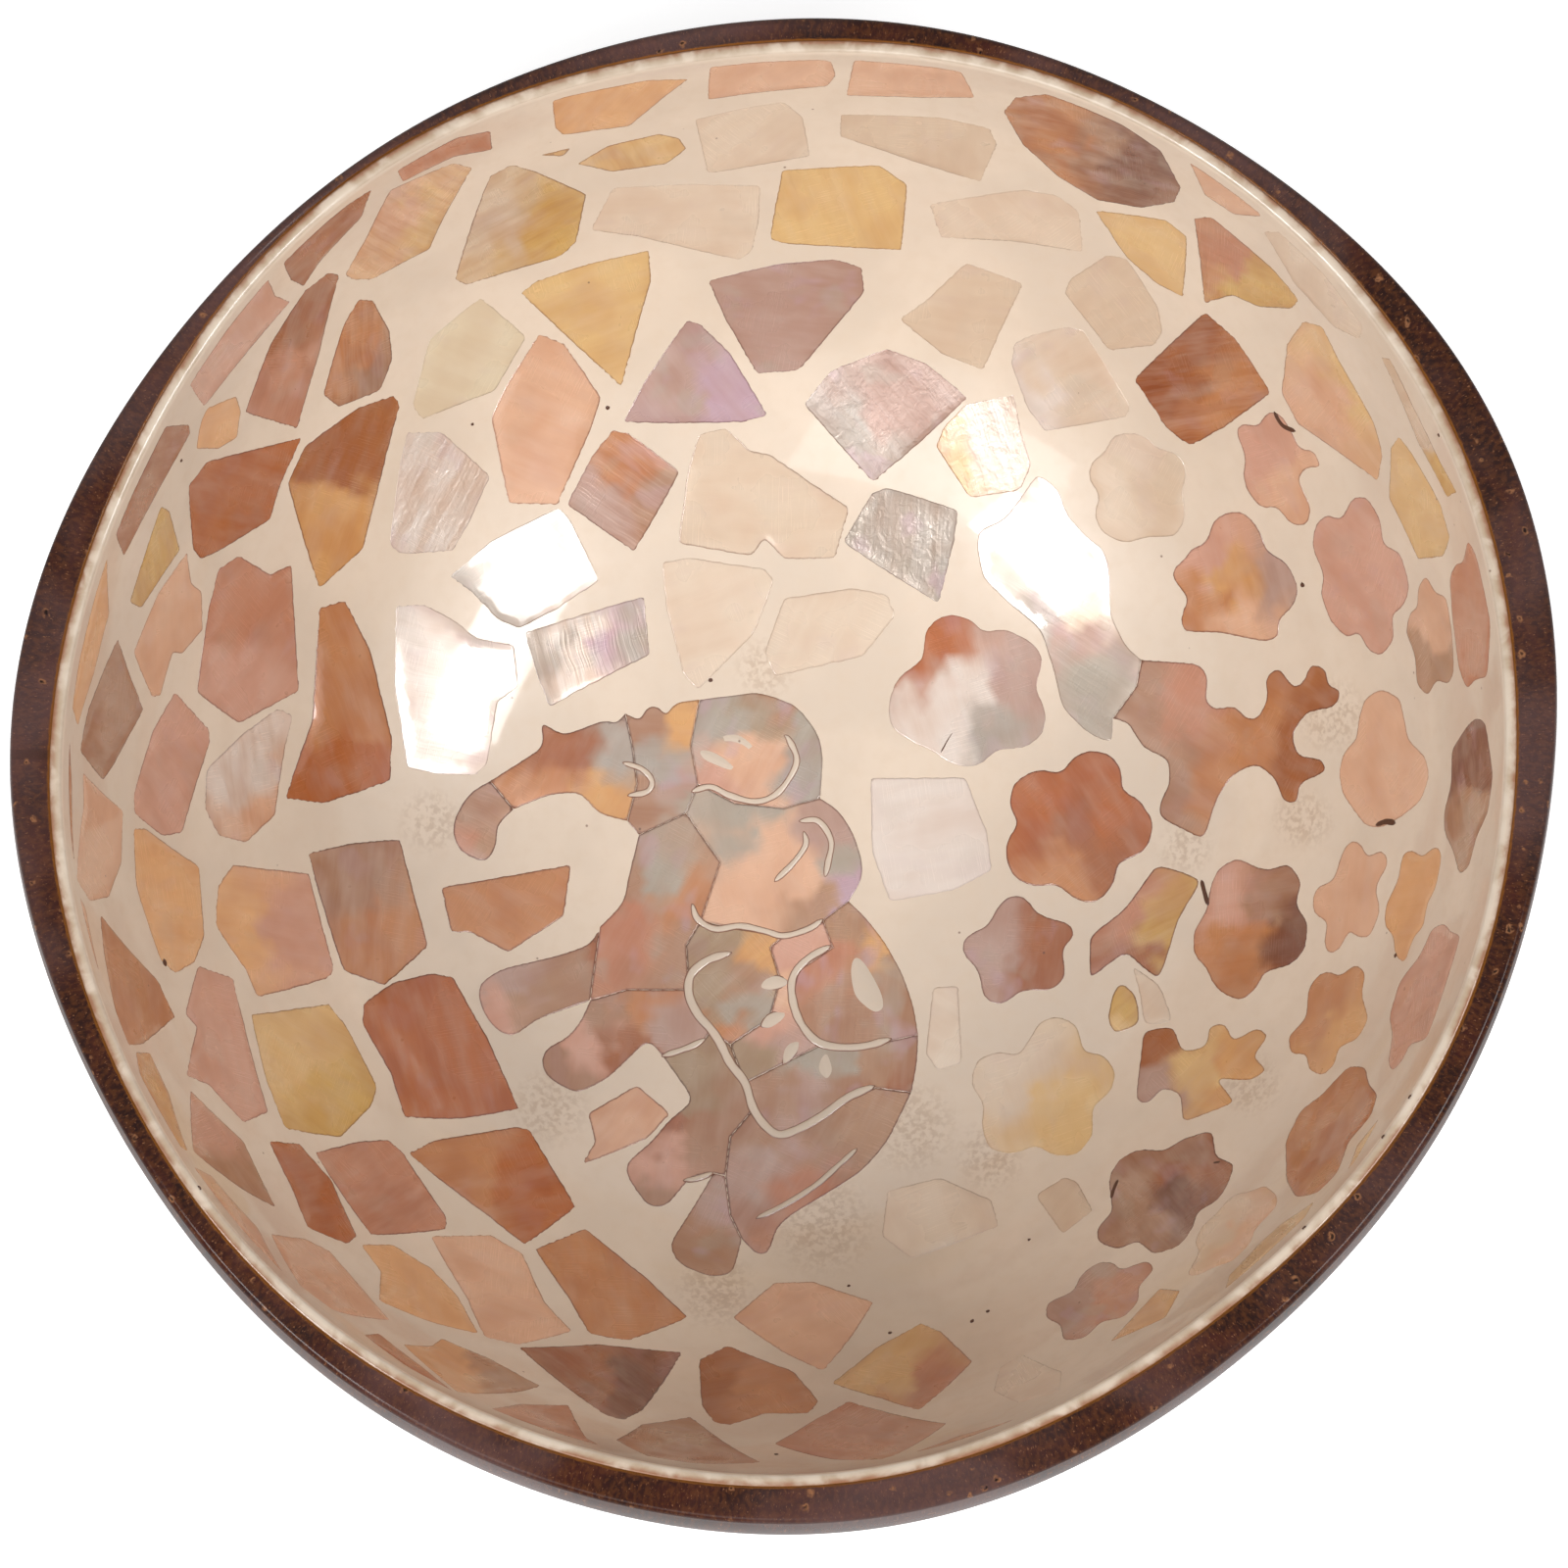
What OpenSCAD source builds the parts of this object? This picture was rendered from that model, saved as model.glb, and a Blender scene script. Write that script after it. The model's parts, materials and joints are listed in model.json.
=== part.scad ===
// Coconut shell bowl with a mother-of-pearl mosaic set in a cream ground.
// The bowl stands on its sanded foot at z = 0, its centre line is the z axis,
// and the side that faces the viewer is -y.

/* [Shell] */
// Mean outer diameter of the rim
rim_d = 133.5; // [110:0.5:160]
// Height of the rim above the table
bowl_h = 59; // [48:0.5:70]
// Depth of the widest place below the rim
belly_drop = 8; // [6:0.5:16]
// Diameter of the sanded flat foot
foot_d = 44; // [30:1:50]
// Mean width of the bare shell edge at the rim
edge_w = 2.5; // [2:0.1:4]
// Radius that the outer corner of the rim is rubbed to
edge_round = 0.7; // [0.3:0.1:1.2]

/* [Lining] */
// Thickness of the floor, shell and cream ground together
floor_t = 5.5; // [4:0.5:9]
// Width of the cream edge at the rim
ground_edge_w = 1; // [0.8:0.1:2]
// Height above the rim at which the inner wall would stand upright
wall_lift = 18; // [10:1:30]

/* [Inlay] */
// Thickness of a mother-of-pearl piece below the polished face
inlay_t = 0.5; // [0.3:0.05:0.6]
// How far an inlay stands proud of the cream ground
inlay_proud = 0.08; // [0.04:0.01:0.2]

/* [Sight] */
// Tilt of the line of sight that the outlines were drawn along, from straight down
sight_tilt = 9; // [0:0.5:15]
// Distance from the eye to the middle of the rim
sight_distance = 550; // [400:10:900]

/* [Hidden] */
// Pixel place of the middle of the rim, and the mean width of the hollow's mouth in pixels
middle_px = [805, 765];
mouth_w_px = 1472.5;

// Growth of the rim's radius by direction: share of the radius, waves round the rim, angle of the first crest
rim_wave_share = [[0.017, 2, 33], [0.0105, 3, 35], [0.007, 4, 5], [0.0034, 5, 28], [0.003, 7, 24]];
// The same for the width of the bare shell edge
edge_wave_share = [[0.25, 1, 302], [0.15, 2, 2], [0.18, 3, 41], [0.2, 4, 5], [0.18, 5, 22]];

// Fullness of the outer and the inner profile, 2 is an ellipse
outer_fullness = 2;
inner_fullness = 2.6;
// Share of the wall that is coconut shell, the rest is cream ground
shell_share = 0.7;
// Angle that spreads the rings of the inner profile evenly
ring_spread = 80;

facets_round = 54;
facets_up = 10;
facets_corner = 3;
bisections = 16;
// Every point is rounded to this, so that flat faces stay flat when the model is exported
grain = 0.001;
// How far a pocket's cutter rises above the inlay
cutter_rise = 1.5;
// Radius of a pit in the cream ground
pit_r = 0.35;
pit_facets = 6;
// The highest share of the inner radius that an inlay reaches
inlay_reach_share = 0.992;

function snapped(p) = [for (c = p) round(c / grain) * grain];
function waves(list, a, i = 0) =
    i >= len(list) ? 0 : list[i][0] * cos(list[i][1] * (a - list[i][2])) + waves(list, a, i + 1);
function rim_r(a) = rim_d / 2 * (1 + waves(rim_wave_share, a));
function edge_width(a) = edge_w * (1 + waves(edge_wave_share, a));
function bowl_r(a) = rim_r(a) - edge_width(a) - ground_edge_w;

// Outer profile: a superellipse about the belly's height, cut flat at the foot
belly_z = bowl_h - belly_drop;
function lobe(x, n) = pow(max(0, 1 - pow(abs(x), n)), 1 / n);
foot_share = foot_d / rim_d;
outer_semi = belly_z / lobe(foot_share, outer_fullness);
rim_lobe_share = lobe(belly_drop / outer_semi, outer_fullness);
function belly_r(a) = rim_r(a) / rim_lobe_share;
function outer_r(a, z) = belly_r(a) * lobe((z - belly_z) / outer_semi, outer_fullness);
function signed_pow(x, n) = sign(x) * pow(abs(x), n);
turn_top = -asin(pow((belly_drop - edge_round) / outer_semi, outer_fullness / 2));
function outer_turn(u) = turn_top + (90 - turn_top) * (1 - u);
function on_circle(a, r, z) = [r * cos(a), r * sin(a), z];
function outer_z(u) = max(0, belly_z - outer_semi * signed_pow(sin(outer_turn(u)), 2 / outer_fullness));
function outer_p(a, u) =
    on_circle(a, belly_r(a) * signed_pow(cos(outer_turn(u)), 2 / outer_fullness), outer_z(u));

// Inner profile: a superellipse about a height above the rim
bowl_depth = bowl_h - floor_t;
inner_semi = bowl_depth + wall_lift;
inner_z = bowl_h + wall_lift;
inner_rim_share = lobe(wall_lift / inner_semi, inner_fullness);
function full_r(a) = bowl_r(a) / inner_rim_share;
function inner_p(a, u) =
    let (share = sin(ring_spread * u) / sin(ring_spread) * inner_rim_share)
    on_circle(a, full_r(a) * share, inner_z - inner_semi * lobe(share, inner_fullness));
// Negative inside the hollow, zero on its face
function hollow(p) =
    pow(norm([p.x, p.y]) / full_r(atan2(p.y, p.x)), inner_fullness)
    + pow((inner_z - p.z) / inner_semi, inner_fullness) - 1;

// The face where the shell and the cream ground meet
function rim_outer_p(a) = on_circle(a, rim_r(a), bowl_h);
function joint_p(a, u) =
    let (outer = u < 1 ? outer_p(a, u) : rim_outer_p(a))
    let (share = u < 1 ? shell_share : edge_width(a) / (edge_width(a) + ground_edge_w))
    outer + (inner_p(a, u) - outer) * share;

// The rounded corner between the outer wall and the rim's flat face
function corner_p(a, turn) =
    on_circle(a, outer_r(a, bowl_h - edge_round) - edge_round * (1 - cos(turn)),
        bowl_h - edge_round * (1 - sin(turn)));

// Every other ring is turned by half a facet, so that no two faces next to each other are nearly flat
function angles(k) = [for (i = [0:facets_round - 1]) 360 * (i + k % 2 / 2) / facets_round];
steps_up = [for (k = [1:facets_up]) [k, k / facets_up]];
corner_turns = [for (k = [1:facets_corner]) [facets_up + k, 90 * k / facets_corner]];

// A closed skin through rings of equal count, from one pole to the other
module skin(first_pole, rings, last_pole) {
    n = len(rings[0]);
    last = len(rings) * n + 1;
    points = [for (p = [first_pole, for (ring = rings) each ring, last_pole]) snapped(p)];
    faces = [
        for (i = [0:n - 1]) [0, 1 + i, 1 + (i + 1) % n],
        for (k = [0:len(rings) - 2], i = [0:n - 1])
            let (p = 1 + k * n, j = (i + 1) % n, turned = rings[k][0].y > rings[k + 1][0].y)
            each turned
                ? [[p + i, p + n + j, p + j], [p + i, p + n + i, p + n + j]]
                : [[p + i, p + n + i, p + j], [p + j, p + n + i, p + n + j]],
        for (i = [0:n - 1]) let (p = 1 + (len(rings) - 1) * n) [last, p + (i + 1) % n, p + i]
    ];
    polyhedron(points = points, faces = faces);
}

function rings_of_joint() = [for (step = steps_up) [for (a = angles(step[0])) joint_p(a, step[1])]];
function backwards(list) = [for (i = [len(list) - 1:-1:0]) list[i]];

module coconut_shell() {
    outside = [for (step = steps_up) [for (a = angles(step[0])) outer_p(a, step[1])]];
    corner = [for (step = corner_turns) [for (a = angles(step[0])) corner_p(a, step[1])]];
    color([0.29, 0.17, 0.14])
        skin([0, 0, 0], concat(outside, corner, backwards(rings_of_joint())), joint_p(0, 0));
}

// A line of sight through a pixel, followed down to the inner face
mm_per_px = (rim_d - 2 * edge_w - 2 * ground_edge_w) / mouth_w_px;
eye = [0, -sight_distance * sin(sight_tilt), bowl_h + sight_distance * cos(sight_tilt)];
ahead = [0, sin(sight_tilt), -cos(sight_tilt)];
above = [0, cos(sight_tilt), sin(sight_tilt)];
function sight(px) =
    sight_distance * ahead + [(px.x - middle_px.x) * mm_per_px, 0, 0]
    + (middle_px.y - px.y) * mm_per_px * above;
function search(ray, near, far, n) =
    let (half = (near + far) / 2)
    n < 1 ? eye + ray * half
    : hollow(eye + ray * half) < 0 ? search(ray, half, far, n - 1)
    : search(ray, near, half, n - 1);
function pull_in(p) =
    let (a = atan2(p.y, p.x), most = bowl_r(a) * inlay_reach_share)
    norm([p.x, p.y]) > most ? on_circle(a, most, p.z) : p;
function at_pixel(px) =
    let (ray = sight(px), near = (eye.z - bowl_h) / -ray.z, far = (eye.z - bowl_h + bowl_depth) / -ray.z)
    let (top = pull_in(eye + ray * near), clear_ray = (top - eye) / near)
    search(clear_ray, near, far, bisections);

// Ear clipping, so that an outline of any shape becomes triangles
function cross2(o, p, q) = (p.x - o.x) * (q.y - o.y) - (p.y - o.y) * (q.x - o.x);
function within(p, a, b, c) = cross2(a, b, p) >= 0 && cross2(b, c, p) >= 0 && cross2(c, a, p) >= 0;
function is_ear(pts, ids, k) =
    let (n = len(ids), a = ids[(k + n - 1) % n], b = ids[k], c = ids[(k + 1) % n])
    cross2(pts[a], pts[b], pts[c]) > 0
    && len([for (i = ids) if (i != a && i != b && i != c && within(pts[i], pts[a], pts[b], pts[c])) i]) == 0;
function ears(pts, ids, k = 0) =
    let (n = len(ids))
    n == 3 ? [ids]
    : k >= n ? []
    : is_ear(pts, ids, k)
        ? concat([[ids[(k + n - 1) % n], ids[k], ids[(k + 1) % n]]],
            ears(pts, [for (i = [0:n - 1]) if (i != k) ids[i]]))
    : ears(pts, ids, k + 1);
function area2(pts) = let (n = len(pts)) [for (i = [0:n - 1]) cross2([0, 0], pts[i], pts[(i + 1) % n])];
function total(list, i = 0) = i >= len(list) ? 0 : list[i] + total(list, i + 1);
function turned_right(pts) = total(area2(pts)) > 0 ? pts : backwards(pts);
function upright(pts) = turned_right([for (p = pts) [p.x, -p.y]]);

// The direction square to outlines that lie on the inner face
function total_vector(list, i = 0) = i >= len(list) ? [0, 0, 0] : list[i] + total_vector(list, i + 1);
function face_of(outline) = [for (p = upright(outline)) at_pixel([p.x, -p.y])];
function area_vector(pts) =
    let (n = len(pts))
    total_vector([for (i = [0:n - 1]) cross(pts[i] - pts[0], pts[(i + 1) % n] - pts[0])]);
function square_to(outlines) =
    let (v = total_vector([for (outline = outlines) area_vector(face_of(outline))]))
    v / norm(v);

// Slabs of nacre that meet along shared corners, as one body from below the face to above it
function first_of(list, p, i = 0) = list[i] == p ? i : first_of(list, p, i + 1);
function answers(edges, e) = len([for (f = edges) if (f[0] == e[1] && f[1] == e[0]) f]);
module slab(outlines, below, up, way) {
    loops = [for (outline = outlines) upright(outline)];
    all = [for (loop = loops) each loop];
    places = [for (i = [0:len(all) - 1]) if (first_of(all, all[i]) == i) all[i]];
    face = [for (p = places) snapped(at_pixel([p.x, -p.y]))];
    down = snapped(way * below);
    lift = snapped(way * up);
    n = len(places);
    ids = [for (loop = loops) [for (p = loop) first_of(places, p)]];
    tris = [for (loop = ids) each ears(places, loop)];
    edges = [for (loop = ids) for (i = [0:len(loop) - 1]) [loop[i], loop[(i + 1) % len(loop)]]];
    walls = [for (e = edges) if (answers(edges, e) == 0) e];
    polyhedron(
        points = concat([for (p = face) p - down], [for (p = face) p + lift]),
        faces = concat(
            [for (t = tris) t],
            [for (t = tris) [t[2] + n, t[1] + n, t[0] + n]],
            [for (e = walls) each [[e[0], e[0] + n, e[1] + n], [e[0], e[1] + n, e[1]]]]
        )
    );
}

// Separate pieces, each square to its own place, and the pockets that take them
module pieces(outlines) {
    for (outline = outlines) slab([outline], inlay_t, inlay_proud, square_to([outline]));
}
module pockets(outlines) {
    for (outline = outlines) slab([outline], inlay_t, inlay_proud + cutter_rise, square_to([outline]));
}

// Pieces that meet face to face, all facing one way, and the one pocket that takes them
module joined_piece(outline, way) {
    slab([outline], inlay_t, inlay_proud, way);
}
module joined_pocket(outlines, way) {
    slab(outlines, inlay_t, inlay_proud + cutter_rise, way);
}

// Outlines as seen along the line of sight, in pixels, one point at each corner
ivory_north_px = [
    [[709, 120], [760, 108], [800, 102], [819, 118], [827, 158], [770, 168], [722, 176]],
    [[858, 115], [960, 118], [1010, 129], [1018, 145], [1001, 185], [940, 166], [857, 138]],
    [[625, 190], [700, 186], [776, 188], [774, 225], [768, 255], [755, 265], [650, 240], [602, 234]],
    [[948, 207], [1045, 192], [1080, 198], [1102, 215], [1106, 257], [1040, 246], [960, 242]],
    [[1130, 259], [1150, 262], [1182, 312], [1187, 337], [1178, 352], [1132, 357], [1086, 298],
     [1093, 283]],
    [[917, 325], [945, 306], [986, 267], [1045, 288], [1022, 335], [1003, 378], [962, 361]]
];
ivory_centre_px = [
    [[490, 302], [537, 343], [505, 398], [430, 428], [420, 414], [438, 345]],
    [[675, 574], [702, 568], [780, 580], [790, 592], [770, 645], [712, 704], [697, 688], [680, 620]],
    [[800, 610], [870, 600], [905, 606], [914, 628], [880, 670], [790, 690], [780, 665]],
    [[888, 794], [985, 793], [1008, 850], [1012, 888], [975, 908], [908, 920], [890, 870]],
    [[1060, 1218], [1087, 1201], [1100, 1207], [1116, 1236], [1085, 1260], [1058, 1222]],
    [[905, 1215], [960, 1202], [1012, 1225], [1020, 1252], [930, 1285], [900, 1262]],
    [[952, 1008], [978, 1006], [982, 1085], [957, 1093], [945, 1076]]
];
ivory_east_px = [
    [[1290, 234], [1306, 234], [1352, 277], [1393, 332], [1388, 345], [1362, 332], [1322, 288]],
    [[1020, 1396], [1043, 1382], [1084, 1400], [1082, 1420], [1040, 1432], [1014, 1420]]
];
pearl_px = [
    [[570, 517], [582, 530], [612, 592], [570, 620], [530, 641], [508, 632], [480, 603],
     [458, 588], [500, 552]],
    [[403, 618], [432, 616], [462, 632], [486, 651], [524, 658], [529, 700], [507, 716], [497, 780],
     [485, 791], [445, 790], [415, 783], [402, 700]],
    [[1035, 350], [1052, 341], [1090, 332], [1106, 336], [1154, 414], [1150, 425], [1066, 440], [1048, 415],
     [1032, 370]]
];
crinkled_px = [
    [[415, 440], [450, 440], [500, 485], [480, 530], [462, 562], [410, 565], [397, 556], [408, 470]],
    [[985, 412], [1036, 402], [1042, 440], [1053, 474], [1041, 500], [990, 508], [955, 456], [962, 437]]
];
abalone_px = [
    [[905, 497], [978, 520], [974, 550], [958, 616], [900, 580], [860, 553], [890, 502]],
    [[905, 355], [945, 370], [988, 405], [940, 450], [891, 492], [820, 412], [848, 378]]
];
striped_px = [
    [[535, 645], [600, 625], [657, 608], [663, 668], [590, 705], [560, 722], [545, 680]]
];
peach_north_px = [
    [[723, 60], [770, 50], [838, 44], [849, 60], [853, 74], [845, 86], [770, 93], [722, 100]],
    [[872, 53], [960, 51], [985, 56], [996, 98], [940, 98], [863, 96]],
    [[713, 442], [740, 435], [766, 460], [785, 463], [867, 518], [852, 570], [800, 570],
     [780, 549], [767, 567], [692, 554], [702, 480]]
];
peach_west_px = [
    [[190, 562], [194, 594], [205, 603], [206, 642], [185, 667], [175, 665], [163, 710],
     [154, 711], [135, 665], [160, 605]],
    [[83, 787], [125, 827], [123, 880], [110, 915], [90, 919], [76, 897], [84, 820]],
    [[210, 415], [240, 403], [245, 418], [241, 446], [222, 457], [199, 457], [203, 432]],
    [[100, 565], [110, 625], [95, 685], [78, 741], [54, 720], [68, 672], [86, 600]],
    [[69, 915], [86, 926], [97, 1000], [110, 1046], [104, 1042], [82, 985]]
];
peach_south_px = [
    [[275, 1259], [310, 1264], [336, 1277], [362, 1307], [398, 1348], [340, 1338], [305, 1312]],
    [[367, 1270], [400, 1270], [440, 1295], [466, 1322], [489, 1362], [440, 1350], [386, 1328],
     [388, 1298]],
    [[438, 1261], [500, 1260], [533, 1279], [556, 1330], [584, 1359], [528, 1373], [494, 1365],
     [476, 1325]],
    [[410, 1372], [440, 1374], [450, 1366], [500, 1387], [552, 1415], [530, 1421], [466, 1421],
     [445, 1403]],
    [[193, 1191], [215, 1200], [262, 1253], [288, 1299], [240, 1256]],
    [[747, 1345], [790, 1309], [830, 1308], [892, 1329], [866, 1369], [840, 1400], [800, 1381]]
];
golden_north_px = [
    [[662, 254], [664, 286], [634, 395], [530, 298], [546, 286], [600, 268]],
    [[550, 339], [576, 350], [613, 405], [603, 437], [569, 515], [519, 514], [501, 425], [517, 392]],
    [[561, 95], [576, 87], [660, 79], [703, 78], [680, 95], [642, 127], [575, 136], [566, 129]],
    [[798, 172], [897, 167], [926, 187], [920, 255], [800, 248], [785, 243]],
    [[1117, 213], [1190, 223], [1212, 240], [1208, 303], [1180, 288], [1150, 262]],
    [[1217, 159], [1232, 159], [1275, 186], [1294, 207], [1288, 219], [1260, 217], [1230, 197]]
];
golden_east_px = [
    [[1330, 326], [1350, 331], [1368, 368], [1403, 430], [1412, 462], [1407, 491], [1325, 432],
     [1308, 400], [1314, 350]],
    [[1420, 456], [1428, 443], [1441, 460], [1471, 513], [1481, 548], [1474, 567], [1448, 570],
     [1418, 507]],
    [[1410, 362], [1420, 364], [1443, 412], [1470, 468], [1488, 500], [1478, 507], [1448, 450]],
    [[1409, 1140], [1386, 1188], [1378, 1196], [1386, 1168]],
    [[1342, 1226], [1338, 1245], [1295, 1292], [1253, 1319], [1255, 1302], [1284, 1271], [1308, 1249]],
    [[1184, 1315], [1205, 1317], [1190, 1345], [1133, 1370], [1158, 1343]]
];
golden_south_px = [
    [[255, 1035], [335, 1024], [355, 1050], [385, 1110], [378, 1129], [347, 1161], [290, 1152],
     [270, 1100]],
    [[713, 1388], [742, 1373], [810, 1400], [836, 1430], [826, 1443], [780, 1443], [745, 1455],
     [728, 1452], [716, 1435]],
    [[848, 1412], [895, 1375], [940, 1350], [962, 1360], [993, 1390], [938, 1440], [900, 1428]]
];
rose_west_px = [
    [[266, 276], [280, 300], [296, 306], [262, 345], [207, 414], [190, 390], [192, 372], [222, 325]],
    [[178, 705], [213, 744], [214, 757], [185, 850], [165, 853], [136, 830], [135, 812], [155, 745]],
    [[243, 566], [275, 586], [297, 575], [305, 705], [243, 738], [200, 706], [212, 620], [222, 580]],
    [[237, 882], [315, 891], [341, 990], [335, 998], [262, 1018], [250, 990], [219, 945], [221, 905]],
    [[201, 985], [237, 997], [252, 1060], [273, 1135], [248, 1146], [212, 1107], [189, 1098],
     [200, 1048], [188, 1035]],
    [[135, 845], [148, 845], [203, 884], [208, 955], [198, 982], [178, 994], [163, 980], [138, 905]]
];
rust_west_px = [
    [[308, 445], [285, 495], [275, 530], [222, 562], [204, 570], [196, 560], [191, 495],
     [210, 470], [270, 455]],
    [[402, 402], [408, 412], [385, 500], [370, 560], [325, 601], [293, 492], [310, 455], [365, 415]],
    [[325, 620], [352, 612], [378, 665], [400, 755], [398, 797], [330, 820], [290, 815], [318, 735]],
    [[101, 932], [160, 1000], [178, 1038], [145, 1065], [130, 1067], [116, 1030], [104, 968]],
    [[273, 1164], [305, 1167], [338, 1205], [364, 1262], [354, 1270], [313, 1253], [298, 1215]],
    [[193, 1112], [248, 1165], [281, 1233], [245, 1213], [196, 1175]],
    [[56, 750], [67, 745], [72, 800], [68, 890], [59, 850]]
];
rust_south_px = [
    [[450, 905], [583, 882], [575, 935], [518, 972], [480, 951], [460, 952]],
    [[370, 1024], [400, 1003], [440, 993], [462, 997], [500, 1065], [530, 1132], [470, 1142],
     [412, 1141], [398, 1095], [369, 1045]],
    [[415, 1177], [445, 1163], [525, 1150], [540, 1152], [588, 1232], [535, 1271], [500, 1243]],
    [[650, 1107], [684, 1137], [660, 1162], [592, 1190], [607, 1165], [600, 1136]],
    [[597, 1253], [660, 1305], [703, 1345], [640, 1369], [601, 1362], [580, 1325], [545, 1275]],
    [[370, 1362], [386, 1361], [430, 1395], [461, 1423], [410, 1400]],
    [[866, 1430], [900, 1440], [967, 1453], [915, 1485], [900, 1494], [850, 1490], [789, 1474],
     [830, 1450]],
    [[497, 1443], [530, 1433], [580, 1434], [598, 1468], [610, 1487], [540, 1465]],
    [[930, 1488], [980, 1465], [1043, 1450], [1000, 1467], [965, 1482]]
];
umber_north_px = [
    [[393, 156], [448, 127], [466, 137], [500, 131], [502, 151], [462, 158], [410, 184]],
    [[379, 190], [368, 220], [325, 266], [309, 291], [296, 285], [279, 258], [330, 214], [352, 206]],
    [[335, 276], [346, 279], [325, 360], [303, 437], [249, 420], [275, 350], [310, 295]],
    [[158, 428], [192, 431], [193, 441], [160, 500], [125, 567], [104, 540], [120, 500]]
];
umber_south_px = [
    [[313, 870], [360, 860], [408, 856], [437, 965], [392, 1006], [350, 991]],
    [[119, 650], [146, 724], [115, 780], [104, 796], [80, 765], [88, 725]],
    [[320, 1176], [365, 1165], [396, 1163], [410, 1175], [456, 1243], [455, 1255], [378, 1261],
     [340, 1207]],
    [[528, 1375], [610, 1372], [697, 1380], [655, 1440], [636, 1450], [618, 1445]],
    [[628, 1470], [655, 1454], [705, 1446], [777, 1493], [705, 1508], [660, 1487]],
    [[756, 1508], [800, 1499], [868, 1498], [830, 1505], [795, 1508]]
];
olive_px = [
    [[549, 157], [583, 149], [574, 158]],
    [[588, 166], [620, 147], [672, 135], [692, 139], [701, 150], [680, 166], [625, 174]],
    [[522, 166], [545, 173], [598, 197], [588, 246], [572, 261], [476, 290], [463, 285],
     [480, 230], [499, 178]],
    [[163, 515], [172, 520], [183, 560], [143, 620], [131, 614], [148, 560]],
    [[1219, 221], [1236, 219], [1300, 273], [1327, 305], [1319, 314], [1285, 312], [1258, 300],
     [1229, 309]],
    [[137, 1073], [152, 1074], [171, 1115], [191, 1176], [178, 1174], [132, 1100]]
];
oval_px = [
    [[1024, 112], [1036, 97], [1070, 89], [1110, 97], [1150, 119], [1185, 151], [1206, 190], [1199, 205],
     [1165, 211], [1120, 203], [1080, 179], [1044, 146]]
];
lilac_px = [
    [[722, 285], [790, 269], [852, 263], [880, 272], [882, 298], [815, 378], [772, 381], [740, 325]],
    [[700, 326], [714, 329], [745, 360], [784, 424], [760, 430], [635, 431], [660, 385]]
];
banded_px = [
    [[1230, 317], [1262, 345], [1298, 400], [1250, 435], [1215, 455], [1190, 436], [1157, 386],
     [1200, 345]],
    [[462, 164], [482, 169], [450, 225], [438, 253], [380, 284], [360, 285], [351, 279],
     [372, 243], [397, 192]],
    [[365, 304], [380, 305], [397, 337], [400, 365], [388, 398], [345, 415], [329, 402], [350, 330]]
];
veined_px = [
    [[625, 438], [641, 441], [694, 481], [672, 520], [647, 563], [600, 530], [578, 514], [605, 463]],
    [[283, 722], [299, 730], [290, 765], [280, 832], [250, 860], [222, 853], [208, 825],
     [210, 785], [245, 750]]
];

flower_pearl_px = [[943, 645], [955, 630], [975, 626], [993, 632], [1003, 647], [1022, 640], [1045, 650],
    [1062, 662], [1065, 680], [1055, 700], [1068, 725], [1065, 750], [1045, 764], [1015, 764], [1008, 776],
    [990, 784], [965, 778], [957, 768], [930, 757], [908, 742], [906, 718], [915, 692], [930, 681], [943, 674]];
flower_rust_px = [[1085, 790], [1092, 774], [1110, 765], [1132, 768], [1146, 785], [1144, 807], [1163, 815],
    [1179, 840], [1171, 867], [1150, 878], [1140, 880], [1138, 902], [1120, 922], [1098, 919], [1078, 901],
    [1055, 906], [1032, 894], [1025, 868], [1030, 851], [1041, 842], [1029, 822], [1034, 798], [1058, 784]];
flower_amber_px = [[1238, 530], [1255, 521], [1272, 522], [1289, 545], [1291, 561], [1314, 573], [1327, 600],
    [1320, 620], [1304, 632], [1307, 650], [1292, 655], [1245, 645], [1206, 645], [1205, 625], [1215, 611],
    [1196, 590], [1196, 578], [1211, 571], [1213, 560], [1232, 554]];
flower_pale_upper_px = [[1133, 445], [1150, 440], [1172, 444], [1180, 457], [1203, 461], [1213, 481],
    [1206, 501], [1212, 526], [1200, 548], [1170, 547], [1150, 555], [1125, 545], [1115, 525], [1124, 505],
    [1110, 490], [1113, 470], [1130, 460]];
flower_rose_upper_px = [[1260, 436], [1271, 430], [1284, 436], [1293, 419], [1307, 420], [1321, 443],
    [1326, 458], [1342, 458], [1350, 478], [1336, 475], [1324, 487], [1340, 520], [1334, 537], [1317, 535],
    [1303, 515], [1288, 520], [1271, 498], [1268, 479], [1273, 470]];
flower_pink_east_px = [[1342, 535], [1355, 523], [1369, 531], [1381, 506], [1396, 506], [1410, 530],
    [1412, 555], [1430, 563], [1440, 598], [1434, 618], [1421, 626], [1424, 652], [1410, 670], [1396, 663],
    [1387, 643], [1376, 652], [1358, 634], [1347, 603], [1353, 589], [1339, 558]];
flower_tan_rim_px = [[1447, 600], [1456, 585], [1466, 605], [1477, 607], [1483, 645], [1485, 688],
    [1478, 699], [1467, 692], [1458, 711], [1446, 698], [1445, 668], [1435, 645], [1439, 624], [1448, 620]];
flower_brown_rim_px = [[1480, 588], [1487, 573], [1494, 574], [1499, 548], [1508, 565], [1524, 635],
    [1519, 690], [1506, 693], [1498, 704], [1489, 680], [1483, 630]];
flower_peach_east_px = [[1386, 738], [1393, 712], [1410, 702], [1430, 712], [1438, 755], [1456, 772],
    [1460, 793], [1451, 817], [1430, 834], [1410, 845], [1394, 843], [1370, 810], [1366, 787], [1373, 764],
    [1386, 755]];
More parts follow.
